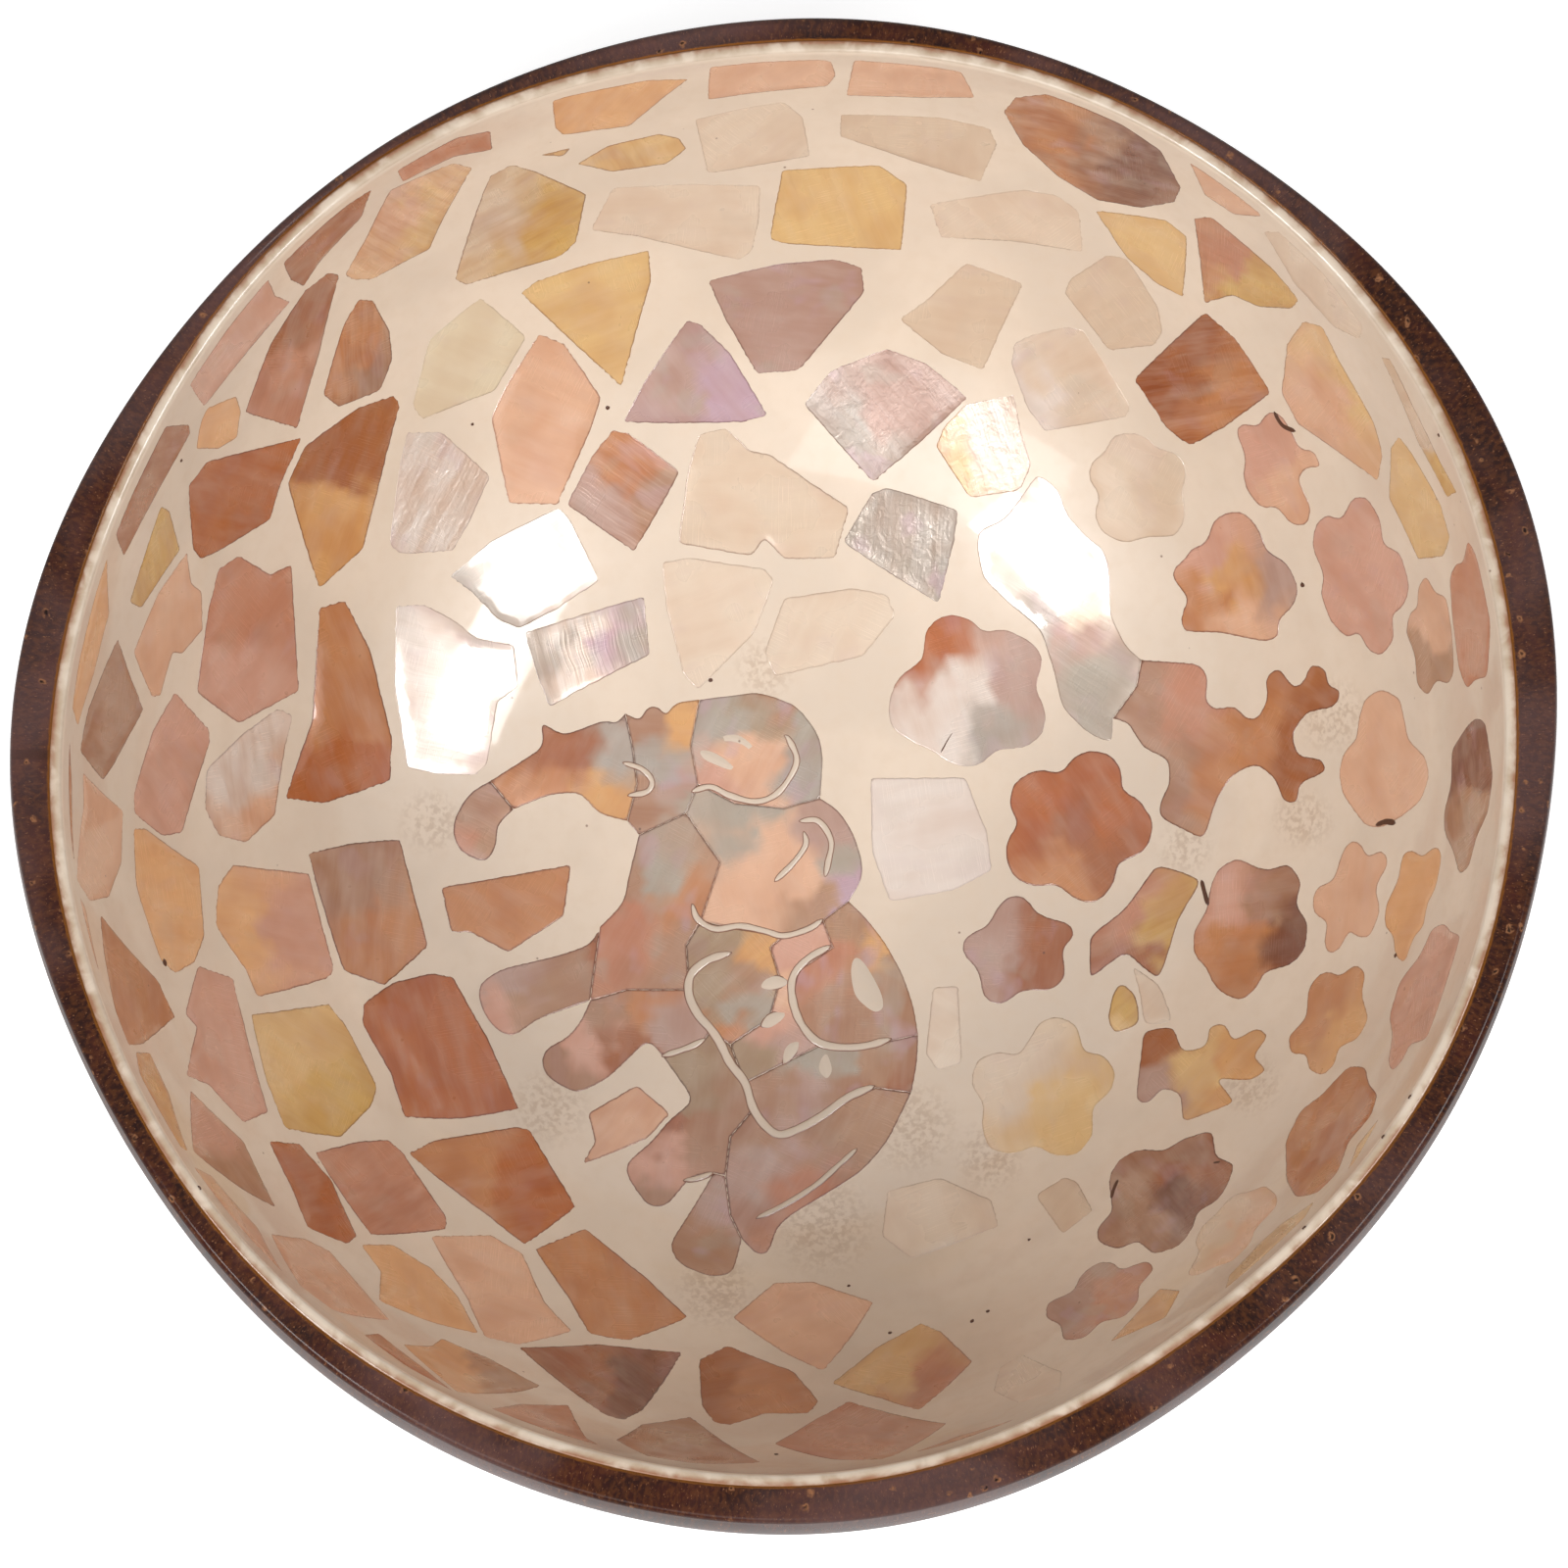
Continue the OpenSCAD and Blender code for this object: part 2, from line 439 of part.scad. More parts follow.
flower_smoke_rim_px = [[1498, 740], [1508, 731], [1517, 736], [1525, 790], [1520, 828], [1508, 853],
    [1500, 885], [1490, 893], [1484, 868], [1475, 850], [1474, 830], [1482, 800], [1482, 765]];
flower_peach_middle_px = [[1372, 864], [1382, 856], [1392, 863], [1395, 875], [1412, 866], [1419, 880],
    [1404, 905], [1410, 930], [1398, 958], [1384, 956], [1378, 948], [1368, 970], [1356, 975], [1351, 962],
    [1356, 940], [1341, 934], [1339, 915], [1346, 903], [1361, 900]];
flower_peach_rim_px = [[1432, 870], [1443, 866], [1451, 875], [1466, 862], [1473, 870], [1466, 908],
    [1457, 922], [1454, 946], [1444, 955], [1434, 984], [1424, 975], [1423, 955], [1413, 945], [1415, 922],
    [1427, 900]];
flower_rose_brown_px = [[1235, 905], [1243, 886], [1263, 874], [1282, 885], [1297, 888], [1315, 880],
    [1330, 900], [1322, 922], [1336, 942], [1333, 970], [1318, 985], [1290, 992], [1285, 1006], [1269, 1022],
    [1250, 1016], [1236, 1002], [1234, 990], [1218, 975], [1218, 948], [1232, 931]];
flower_lilac_brown_px = [[1028, 914], [1045, 913], [1058, 932], [1076, 939], [1092, 941], [1099, 955],
    [1083, 968], [1089, 995], [1076, 1011], [1043, 1010], [1022, 1027], [1004, 1020], [998, 988], [982, 975],
    [982, 957], [1010, 944], [1017, 926]];
flower_orange_px = [[1335, 1010], [1345, 994], [1358, 990], [1368, 997], [1384, 983], [1395, 992],
    [1390, 1015], [1398, 1040], [1386, 1061], [1366, 1069], [1364, 1086], [1350, 1099], [1335, 1091],
    [1334, 1075], [1318, 1077], [1314, 1058], [1334, 1039]];
flower_pink_rim_px = [[1462, 947], [1475, 941], [1481, 950], [1492, 954], [1478, 1000], [1457, 1060],
    [1439, 1066], [1434, 1080], [1422, 1094], [1417, 1085], [1422, 1055], [1418, 1038], [1429, 1001],
    [1450, 975]];
flower_pale_south_px = [[1050, 1062], [1061, 1042], [1080, 1036], [1100, 1046], [1106, 1075], [1126, 1075],
    [1140, 1095], [1134, 1115], [1115, 1129], [1116, 1160], [1100, 1180], [1074, 1180], [1058, 1168],
    [1035, 1179], [1010, 1174], [1001, 1150], [1005, 1126], [990, 1108], [995, 1083], [1018, 1072], [1040, 1078]];
flower_copper_px = [[1364, 1101], [1378, 1087], [1395, 1089], [1397, 1105], [1407, 1117], [1400, 1139],
    [1377, 1165], [1366, 1197], [1345, 1218], [1323, 1222], [1313, 1205], [1312, 1165], [1328, 1132],
    [1348, 1119]];
flower_dark_px = [[1131, 1202], [1142, 1182], [1164, 1172], [1190, 1175], [1205, 1163], [1238, 1153],
    [1241, 1181], [1261, 1188], [1253, 1211], [1243, 1226], [1222, 1237], [1219, 1252], [1205, 1272],
    [1178, 1281], [1161, 1266], [1142, 1276], [1120, 1268], [1120, 1252], [1136, 1238], [1133, 1217]];
flower_lilac_south_px = [[1102, 1302], [1120, 1288], [1138, 1288], [1143, 1297], [1172, 1286], [1179, 1296],
    [1162, 1313], [1163, 1328], [1148, 1345], [1124, 1349], [1108, 1366], [1085, 1369], [1083, 1352],
    [1067, 1346], [1068, 1330], [1097, 1318]];
flower_pale_rim_px = [[1262, 1218], [1278, 1216], [1291, 1209], [1304, 1220], [1304, 1231],
    [1281, 1255], [1277, 1269], [1258, 1288], [1240, 1293], [1224, 1302], [1211, 1302], [1225, 1277],
    [1219, 1269], [1227, 1251], [1243, 1238], [1252, 1225]];

tree_pearl_px = [[1059, 482], [1082, 500], [1088, 523], [1108, 546], [1127, 560], [1133, 580], [1134, 628],
    [1148, 658], [1165, 673], [1160, 700], [1136, 733], [1136, 759], [1110, 748], [1084, 722], [1075, 682],
    [1062, 642], [1030, 616], [1003, 590], [997, 560], [998, 541], [1025, 530], [1045, 503]];
tree_brown_px = [[1165, 673], [1225, 677], [1234, 690], [1230, 713], [1238, 724], [1262, 719], [1271, 733],
    [1284, 734], [1295, 710], [1290, 692], [1305, 679], [1320, 702], [1330, 698], [1338, 676], [1354, 682],
    [1355, 700], [1370, 703], [1364, 721], [1333, 727], [1318, 750], [1325, 771], [1350, 774], [1355, 787],
    [1326, 799], [1325, 820], [1310, 819], [1302, 795], [1283, 779], [1258, 790], [1242, 815], [1229, 857],
    [1183, 834], [1183, 819], [1194, 800], [1193, 775], [1166, 763], [1152, 737], [1136, 733], [1160, 700]];
small_tree_brown_px = [[1180, 882], [1205, 889], [1227, 898], [1203, 938], [1192, 975], [1183, 1000],
    [1163, 985], [1150, 971], [1130, 985], [1112, 1000], [1112, 955], [1148, 928], [1168, 900]];
small_tree_gold_px = [[1167, 1052], [1198, 1047], [1207, 1074], [1232, 1068], [1234, 1046], [1252, 1044],
    [1258, 1063], [1284, 1048], [1296, 1057], [1279, 1078], [1294, 1092], [1278, 1103], [1242, 1101],
    [1261, 1125], [1207, 1146], [1205, 1116], [1186, 1110], [1172, 1128], [1159, 1124]];
small_tree_leaf_px = [[1143, 1001], [1160, 1015], [1164, 1045], [1138, 1056], [1130, 1042], [1135, 1016]];
small_tree_stem_px = [[1155, 985], [1184, 1005], [1198, 1043], [1168, 1047], [1163, 1012]];

trunk_tip_px = [[500, 797], [480, 808], [464, 832], [461, 850], [468, 869], [496, 882], [508, 862],
    [506, 843], [524, 826]];
trunk_px = [[500, 797], [555, 762], [551, 735], [574, 751], [620, 733], [629, 741], [638, 728], [645, 760],
    [650, 800], [640, 838], [610, 831], [592, 808], [560, 811], [524, 826]];
forehead_px = [[638, 728], [655, 737], [657, 722], [672, 718], [680, 734], [686, 717], [714, 714],
    [705, 760], [712, 800], [700, 830], [652, 852], [640, 838], [650, 800], [645, 760]];
crown_px = [[714, 714], [775, 706], [812, 719], [835, 748], [840, 770], [837, 815], [800, 825], [750, 820],
    [712, 800], [705, 760]];
ear_px = [[712, 800], [750, 820], [800, 825], [837, 815], [855, 826], [870, 848], [880, 878], [880, 898],
    [866, 920], [840, 940], [800, 955], [755, 948], [715, 940], [735, 880], [700, 830]];
chest_px = [[700, 830], [735, 880], [715, 940], [700, 965], [703, 1010], [640, 1010], [602, 1021], [612, 946],
    [637, 921], [640, 900], [652, 852]];
foreleg_px = [[612, 946], [602, 1021], [548, 1040], [522, 1060], [502, 1048], [490, 1028], [487, 1005],
    [510, 989], [570, 975], [603, 964]];
knee_px = [[602, 1021], [640, 1010], [703, 1010], [712, 1035], [725, 1052], [718, 1062], [676, 1078],
    [662, 1060], [620, 1101], [588, 1117], [556, 1098], [551, 1082], [557, 1069], [578, 1060], [592, 1044]];
saddle_px = [[703, 1010], [700, 965], [715, 940], [755, 948], [800, 955], [786, 967], [796, 1000],
    [785, 1040], [745, 1066], [725, 1052], [712, 1035]];
flank_px = [[800, 955], [840, 940], [850, 967], [815, 990], [808, 1015], [818, 1045], [840, 1065],
    [800, 1085], [760, 1105], [745, 1066], [785, 1040], [796, 1000], [786, 967]];
back_px = [[840, 940], [866, 920], [883, 936], [902, 960], [920, 992], [932, 1025], [937, 1056], [910, 1062],
    [875, 1068], [840, 1065], [818, 1045], [808, 1015], [815, 990], [850, 967]];
rump_px = [[840, 1065], [875, 1068], [910, 1062], [937, 1056], [936, 1085], [930, 1115], [893, 1110],
    [865, 1122], [835, 1140], [800, 1158], [785, 1150], [770, 1130], [760, 1105], [800, 1085]];
thigh_px = [[930, 1115], [905, 1166], [880, 1195], [810, 1238], [793, 1252], [784, 1281], [774, 1283],
    [757, 1265], [745, 1240], [740, 1200], [745, 1160], [770, 1130], [785, 1150], [800, 1158], [835, 1140],
    [865, 1122], [893, 1110]];
hind_foot_px = [[757, 1265], [748, 1300], [725, 1304], [692, 1290], [682, 1271], [705, 1235], [728, 1197],
    [740, 1200], [745, 1240]];
shin_px = [[745, 1066], [760, 1105], [770, 1130], [745, 1160], [740, 1200], [728, 1197], [706, 1199],
    [680, 1232], [662, 1233], [640, 1202], [637, 1188], [668, 1162], [680, 1145], [708, 1123], [676, 1078],
    [718, 1062], [725, 1052]];
elephant_px = [trunk_tip_px, trunk_px, forehead_px, crown_px, ear_px, chest_px, foreleg_px, knee_px,
    saddle_px, flank_px, back_px, rump_px, thigh_px, hind_foot_px, shin_px];
tree_px = [tree_pearl_px, tree_brown_px];
elephant_way = square_to(elephant_px);
tree_way = square_to(tree_px);

pale_flowers_px = [flower_pale_upper_px, flower_pale_south_px, flower_pale_rim_px];
pink_flowers_px = [flower_rose_upper_px, flower_pink_east_px, flower_pink_rim_px];
rim_flowers_px = [flower_tan_rim_px, flower_brown_rim_px];
peach_flowers_px = [flower_peach_east_px, flower_peach_middle_px, flower_peach_rim_px];
lilac_flowers_px = [flower_lilac_brown_px, flower_lilac_south_px];

single_px = concat(
    ivory_north_px, ivory_centre_px, ivory_east_px, pearl_px, crinkled_px, abalone_px, striped_px,
    peach_north_px, peach_west_px, peach_south_px, golden_north_px, golden_east_px, golden_south_px,
    rose_west_px, rust_west_px, rust_south_px, umber_north_px, umber_south_px, olive_px, oval_px,
    lilac_px, banded_px, veined_px,
    pale_flowers_px, pink_flowers_px, rim_flowers_px, peach_flowers_px, lilac_flowers_px,
    [flower_pearl_px, flower_rust_px, flower_amber_px, flower_smoke_rim_px, flower_rose_brown_px,
     flower_orange_px, flower_copper_px, flower_dark_px,
     small_tree_brown_px, small_tree_gold_px, small_tree_leaf_px, small_tree_stem_px]
);

// Pits that the filler left open, each by its two ends
pits_px = [
    [[1304, 418], [1318, 434]], [[1329, 592], [1331, 603]], [[1422, 958], [1418, 968]],
    [[163, 985], [172, 998]], [[1404, 850], [1420, 848]], [[1226, 896], [1222, 915]],
    [[1200, 1160], [1228, 1150]], [[1127, 1208], [1130, 1228]], [[184, 470], [186, 474]],
    [[723, 694], [727, 695]], [[992, 1347], [993, 1351]], [[907, 1359], [909, 1361]]
];

cream = [0.91, 0.84, 0.76];
ivory = [0.87, 0.79, 0.7];
pearl = [0.93, 0.9, 0.87];
silver = [0.67, 0.65, 0.61];
peach = [0.87, 0.7, 0.58];
gold = [0.87, 0.72, 0.5];
rose = [0.8, 0.6, 0.52];
rust = [0.72, 0.43, 0.26];
umber = [0.59, 0.35, 0.27];
olive = [0.78, 0.65, 0.36];
lilac = [0.76, 0.67, 0.67];
smoke = [0.45, 0.36, 0.33];

// A pit in the cream ground, from one pixel to another
module pit(ends) {
    hull() {
        for (end = ends, rise = [0, cutter_rise])
            translate(at_pixel(end) - ahead * rise) sphere(r = pit_r, $fn = pit_facets);
    }
}

module cream_ground() {
    inside = [for (step = steps_up) [for (a = angles(step[0])) inner_p(a, step[1])]];
    color(cream)
        difference() {
            skin(joint_p(0, 0), concat(rings_of_joint(), backwards(inside)), inner_p(0, 0));
            pockets(single_px);
            joined_pocket(elephant_px, elephant_way);
            joined_pocket(tree_px, tree_way);
            for (ends = pits_px) pit(ends);
        }
}

module ivory_tiles_north() { color(ivory) pieces(ivory_north_px); }
module ivory_tiles_centre() { color(ivory) pieces(ivory_centre_px); }
module ivory_tiles_east() { color(ivory) pieces(ivory_east_px); }
module pearl_tiles() { color(pearl) pieces(pearl_px); }
module crinkled_tiles() { color(pearl) pieces(crinkled_px); }
module abalone_tiles() { color(silver) pieces(abalone_px); }
module striped_tile() { color(silver) pieces(striped_px); }
module peach_tiles_north() { color(peach) pieces(peach_north_px); }
module peach_tiles_west() { color(peach) pieces(peach_west_px); }
module peach_tiles_south() { color(peach) pieces(peach_south_px); }
module golden_tiles_north() { color(gold) pieces(golden_north_px); }
module golden_tiles_east() { color(gold) pieces(golden_east_px); }
module golden_tiles_south() { color(gold) pieces(golden_south_px); }
module rose_tiles() { color(rose) pieces(rose_west_px); }
module rust_tiles_west() { color(rust) pieces(rust_west_px); }
module rust_tiles_south() { color(rust) pieces(rust_south_px); }
module umber_tiles_north() { color(umber) pieces(umber_north_px); }
module umber_tiles_south() { color(umber) pieces(umber_south_px); }
module olive_tiles() { color(olive) pieces(olive_px); }
module oval_tile() { color(umber) pieces(oval_px); }
module lilac_tiles() { color(lilac) pieces(lilac_px); }
module banded_tiles() { color(gold) pieces(banded_px); }
module veined_tiles() { color(peach) pieces(veined_px); }

module flower_pearl() { color(pearl) pieces([flower_pearl_px]); }
module flower_rust() { color(rust) pieces([flower_rust_px]); }
module flower_amber() { color(rust) pieces([flower_amber_px]); }
module flowers_pale() { color(ivory) pieces(pale_flowers_px); }
module flowers_pink() { color(rose) pieces(pink_flowers_px); }
module flowers_rim() { color(peach) pieces(rim_flowers_px); }
module flower_smoke() { color(smoke) pieces([flower_smoke_rim_px]); }
module flowers_peach() { color(peach) pieces(peach_flowers_px); }
module flower_rose_brown() { color(rose) pieces([flower_rose_brown_px]); }
module flowers_lilac() { color(lilac) pieces(lilac_flowers_px); }
module flower_orange() { color(peach) pieces([flower_orange_px]); }
module flower_copper() { color(rust) pieces([flower_copper_px]); }
module flower_dark() { color(smoke) pieces([flower_dark_px]); }

module tree_pearl() { color(pearl) joined_piece(tree_pearl_px, tree_way); }
module tree_brown() { color(rust) joined_piece(tree_brown_px, tree_way); }
module small_tree_brown() { color(umber) pieces([small_tree_brown_px]); }
module small_tree_gold() { color(gold) pieces([small_tree_gold_px]); }
module small_tree_leaf() { color(olive) pieces([small_tree_leaf_px]); }
module small_tree_stem() { color(ivory) pieces([small_tree_stem_px]); }

module elephant_trunk_tip() { color(umber) joined_piece(trunk_tip_px, elephant_way); }
module elephant_trunk() { color(rust) joined_piece(trunk_px, elephant_way); }
module elephant_forehead() { color(lilac) joined_piece(forehead_px, elephant_way); }
module elephant_crown() { color(silver) joined_piece(crown_px, elephant_way); }
module elephant_ear() { color(peach) joined_piece(ear_px, elephant_way); }
module elephant_chest() { color(lilac) joined_piece(chest_px, elephant_way); }
module elephant_foreleg() { color(rose) joined_piece(foreleg_px, elephant_way); }
module elephant_knee() { color(rose) joined_piece(knee_px, elephant_way); }
module elephant_saddle() { color(olive) joined_piece(saddle_px, elephant_way); }
module elephant_flank() { color(rose) joined_piece(flank_px, elephant_way); }
module elephant_back() { color(silver) joined_piece(back_px, elephant_way); }
module elephant_rump() { color(lilac) joined_piece(rump_px, elephant_way); }
module elephant_thigh() { color(umber) joined_piece(thigh_px, elephant_way); }
module elephant_hind_foot() { color(lilac) joined_piece(hind_foot_px, elephant_way); }
module elephant_shin() { color(rust) joined_piece(shin_px, elephant_way); }

coconut_shell();
cream_ground();
ivory_tiles_north();
ivory_tiles_centre();
ivory_tiles_east();
pearl_tiles();
crinkled_tiles();
abalone_tiles();
striped_tile();
peach_tiles_north();
peach_tiles_west();
peach_tiles_south();
golden_tiles_north();
golden_tiles_east();
golden_tiles_south();
rose_tiles();
rust_tiles_west();
rust_tiles_south();
umber_tiles_north();
umber_tiles_south();
olive_tiles();
oval_tile();
lilac_tiles();
banded_tiles();
veined_tiles();
flower_pearl();
flower_rust();
flower_amber();
flowers_pale();
flowers_pink();
flowers_rim();
flower_smoke();
flowers_peach();
flower_rose_brown();
flowers_lilac();
flower_orange();
flower_copper();
flower_dark();
tree_pearl();
tree_brown();
small_tree_brown();
small_tree_gold();
small_tree_leaf();
small_tree_stem();
elephant_trunk_tip();
elephant_trunk();
elephant_forehead();
elephant_crown();
elephant_ear();
elephant_chest();
elephant_foreleg();
elephant_knee();
elephant_saddle();
elephant_flank();
elephant_back();
elephant_rump();
elephant_thigh();
elephant_hind_foot();
elephant_shin();
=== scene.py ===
"""Coconut shell bowl lined with a mother-of-pearl mosaic: its visible finish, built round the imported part."""

import json
import math
from collections import Counter

import bpy
import numpy as np
from bpy.props import FloatProperty, FloatVectorProperty, IntProperty, PointerProperty
from bpy.types import Operator, Panel, PropertyGroup
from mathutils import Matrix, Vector, noise
from mathutils.geometry import delaunay_2d_cdt


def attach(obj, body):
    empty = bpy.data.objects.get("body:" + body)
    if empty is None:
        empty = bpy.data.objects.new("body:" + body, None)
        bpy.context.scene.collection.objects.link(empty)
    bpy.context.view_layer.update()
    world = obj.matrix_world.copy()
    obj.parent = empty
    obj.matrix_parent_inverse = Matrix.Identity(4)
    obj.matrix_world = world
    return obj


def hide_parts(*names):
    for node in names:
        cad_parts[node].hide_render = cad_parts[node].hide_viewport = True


bl_info = {
    "name": "Mosaic coconut bowl",
    "version": (1, 0, 0),
    "blender": (4, 5, 0),
    "location": "View3D > Sidebar > Bowl",
    "description": "A coconut shell bowl with a cream lining and a mother-of-pearl mosaic",
    "category": "Object",
}

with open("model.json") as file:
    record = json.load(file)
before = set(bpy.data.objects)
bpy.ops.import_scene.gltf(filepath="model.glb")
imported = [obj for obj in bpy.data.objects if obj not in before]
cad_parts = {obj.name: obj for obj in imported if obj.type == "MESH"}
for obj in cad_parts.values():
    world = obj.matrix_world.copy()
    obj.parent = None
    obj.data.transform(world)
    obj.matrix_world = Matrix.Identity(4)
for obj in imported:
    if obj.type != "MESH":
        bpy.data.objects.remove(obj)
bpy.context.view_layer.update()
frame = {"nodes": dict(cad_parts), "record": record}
MM = 0.001

# Growth of the rim's radius round the bowl: share, waves, direction of the first crest in degrees
RIM_WAVE_SHARES = ((0.017, 2, 33), (0.0105, 3, 35), (0.007, 4, 5), (0.0034, 5, 28), (0.003, 7, 24))
# The same for the width of the bare shell edge
EDGE_WAVE_SHARES = ((0.25, 1, 302), (0.15, 2, 2), (0.18, 3, 41), (0.2, 4, 5), (0.18, 5, 22))
OUTER_FULLNESS = 2
INNER_FULLNESS = 2.6
SHELL_SHARE = 0.7
RING_SPREAD = math.radians(80)
# How much shorter the shell's grain is on the sawn rim than down its outside
FACE_GRAIN = 7

# The photograph's width, the middle of the rim in it and the rim's mean width, in pixels
PHOTO_PX = 1600
MIDDLE_PX = (805, 765)
RIM_PX = 1554

# The grid that the part's corners lie on, and how near two lengths are that count as the same
GRAIN = MM * MM
NEAR = 4 * GRAIN
# Lengths of the coarse and the fine chips in a cut edge, and the share of the fine ones
CHIP_COARSE = 0.0009
CHIP_FINE = 0.00035
CHIP_FINE_SHARE = 0.6
# Rows of points along an inlay's edge, and where its face is level, in steps of the edge
EDGE_ROW_SHARES = (0.35, 1.1)
LEVEL_SHARE = 1.6
FIELD_SHARE = 1.8
# How far the face of a flat inlay may stand below and above the curved wall
BULGE_LOW = -0.0002
BULGE_HIGH = 0.0006
# A slab's face counts as no more slanted to the wall than this, and sinks below it by no more of its height
SLANT_SHARE = 0.3
SINK_SHARE = 0.6
# How far outside its inlay a tone still counts, how tones wander, and how softly they meet, in pixels
TONE_REACH_PX = 12
WANDER_PX = (26, 9)
TONE_SOFT_PX = 40
TONE_SHARPNESS = 2.8
# Lengths beside the rim that the finish of the shell and the cream reads as its edge
SHELL_EDGE_BAND = 0.0004
CREAM_EDGE_BAND = 0.0005
FAR_FROM_RIM = 0.01
# Points along the wall's measured line, the direction it is measured in, and the widest place reached on it
WALL_POINTS = 1500
WALL_DIRECTION = 0.3
WIDEST_SHARE = 0.9999
SEARCH_STEPS = 40
# Rings round the rim's outer corner and across its sawn face, and how far that face and the cream edge sag
CORNER_RINGS = 6
FACE_SAG = 0.00012
CREAM_SAG = 0.00008
# Rings of the joint, and how far up it turns from its share of the wall to the edge's own width
JOINT_RINGS = 60
JOINT_TURN_SHARE = 0.85
# Rings across the cream edge, and how far the edge stands inside and below the shell's
CREAM_RING_SHARES = (0, 0.2, 0.5, 0.8)
CREAM_INSIDE = 0.00001
CREAM_BELOW = 0.00002
# The top and the last ring of the inner wall, as shares of its length
WALL_TOP_SHARE = 0.997
WALL_LAST_SHARE = 0.004
# Where a cloud of haze is full and where it ends, in its radius
HAZE_SHARES = (0.4, 1.5)
# How the growth lines turn and shift from one inlay to the next, and turn from one node to the next
LAY_TURN = 2.4
LAY_NAME_TURN = 0.37
LAY_SHIFT = 0.05
LAY_RISE = 0.01
# Section of a cream line from side to side, its waviness, and how deep its sides reach into the nacre
LINE_SECTION_SHARES = (-1, -0.86, -0.5, 0, 0.5, 0.86, 1)
LINE_WAVE = 0.0012
LINE_WAVE_SHARE = 0.18
LINE_FOOT_SHARE = 0.96
LINE_DEPTH = 0.0001
# A line is as high as this many times its share of the full width, and its ends never get narrower than a share
LINE_FULL = 1.4
LINE_END_SHARE = 0.02
# Rings of a speck, as shares of its radius and heights above the wall, and its raggedness
SPECK_RINGS = ((0.35, 0.00006), (0.8, 0.00005), (1, 0.00001), (0.9, -0.00012))
SPECK_SIDES = 14
SPECK_WAVES = 1.5
SPECK_WAVE_SHARE = 0.35
# Where the finished shell and cream meet: both stand a little off the joint, so that they never touch
SHELL_SIDE_SHARE = 0.68
CREAM_SIDE_SHARE = 0.72
# Pixels at which the lacquer mirrors the two lamps, and the lamps' distance and sizes
GLINTS = (("right glint", (520, 640), (0.26, 0.2)), ("left glint", (1060, 560), (0.2, 0.16)))
GLINT_DISTANCE = 0.75
WINDOW_PLACE = (-0.42, -0.95, 0.92)
WINDOW_SIZE = (0.9, 0.6)


def metres(name, description, default):
    """A length in metres."""
    return FloatProperty(name=name, description=description, default=default, unit="LENGTH")


class BowlSizes(PropertyGroup):
    """Sizes of the shell and of its lining."""

    rim: metres("Rim", "Mean outer diameter of the rim", 0.1335)
    height: metres("Height", "Rim above the table", 0.059)
    drop: metres("Belly drop", "Widest place below the rim", 0.008)
    foot: metres("Foot", "Diameter of the flat foot", 0.044)
    edge: metres("Edge", "Mean width of the bare shell edge", 0.0025)
    edge_round: metres("Edge round", "Radius of the rim's outer corner", 0.0007)
    floor: metres("Floor", "Thickness of the floor", 0.0055)
    cream_edge: metres("Cream edge", "Width of the cream edge at the rim", 0.001)
    lift: metres("Wall lift", "Height above the rim where the wall stands upright", 0.018)
    round_steps: IntProperty(name="Steps round", description="Facets round the bowl", default=480)
    up_steps: IntProperty(name="Steps up", description="Rings from floor to rim", default=120)


class InlaySizes(PropertyGroup):
    """Sizes of the inlaid pieces."""

    slab: metres("Slab", "Depth of an inlay with what stands proud", 0.00058)
    step: metres("Step", "Length of a cut edge's smallest stretch", 0.0004)
    grid: metres("Grid", "Spacing of points inside an inlay", 0.0009)
    proud: metres("Proud", "Height of an inlay above the cream", 0.00005)
    chip: metres("Chip", "Raggedness of a cut edge", 0.00007)
    flatness: FloatProperty(name="Flatness", description="Share of the wall's curve that an inlay leaves out",
                            default=0.35, min=0, max=1)
    skirt: metres("Skirt", "Depth of an inlay's edge in the cream", 0.0003)
    line: metres("Line", "Height of the cream lines on the elephant", 0.00012)


def shade(name, colour):
    """A colour as the eye names it, from 0 to 1."""
    return FloatVectorProperty(name=name, description=f"Colour of {name.lower()}", default=colour, size=3,
                               min=0, max=1, subtype="COLOR_GAMMA")


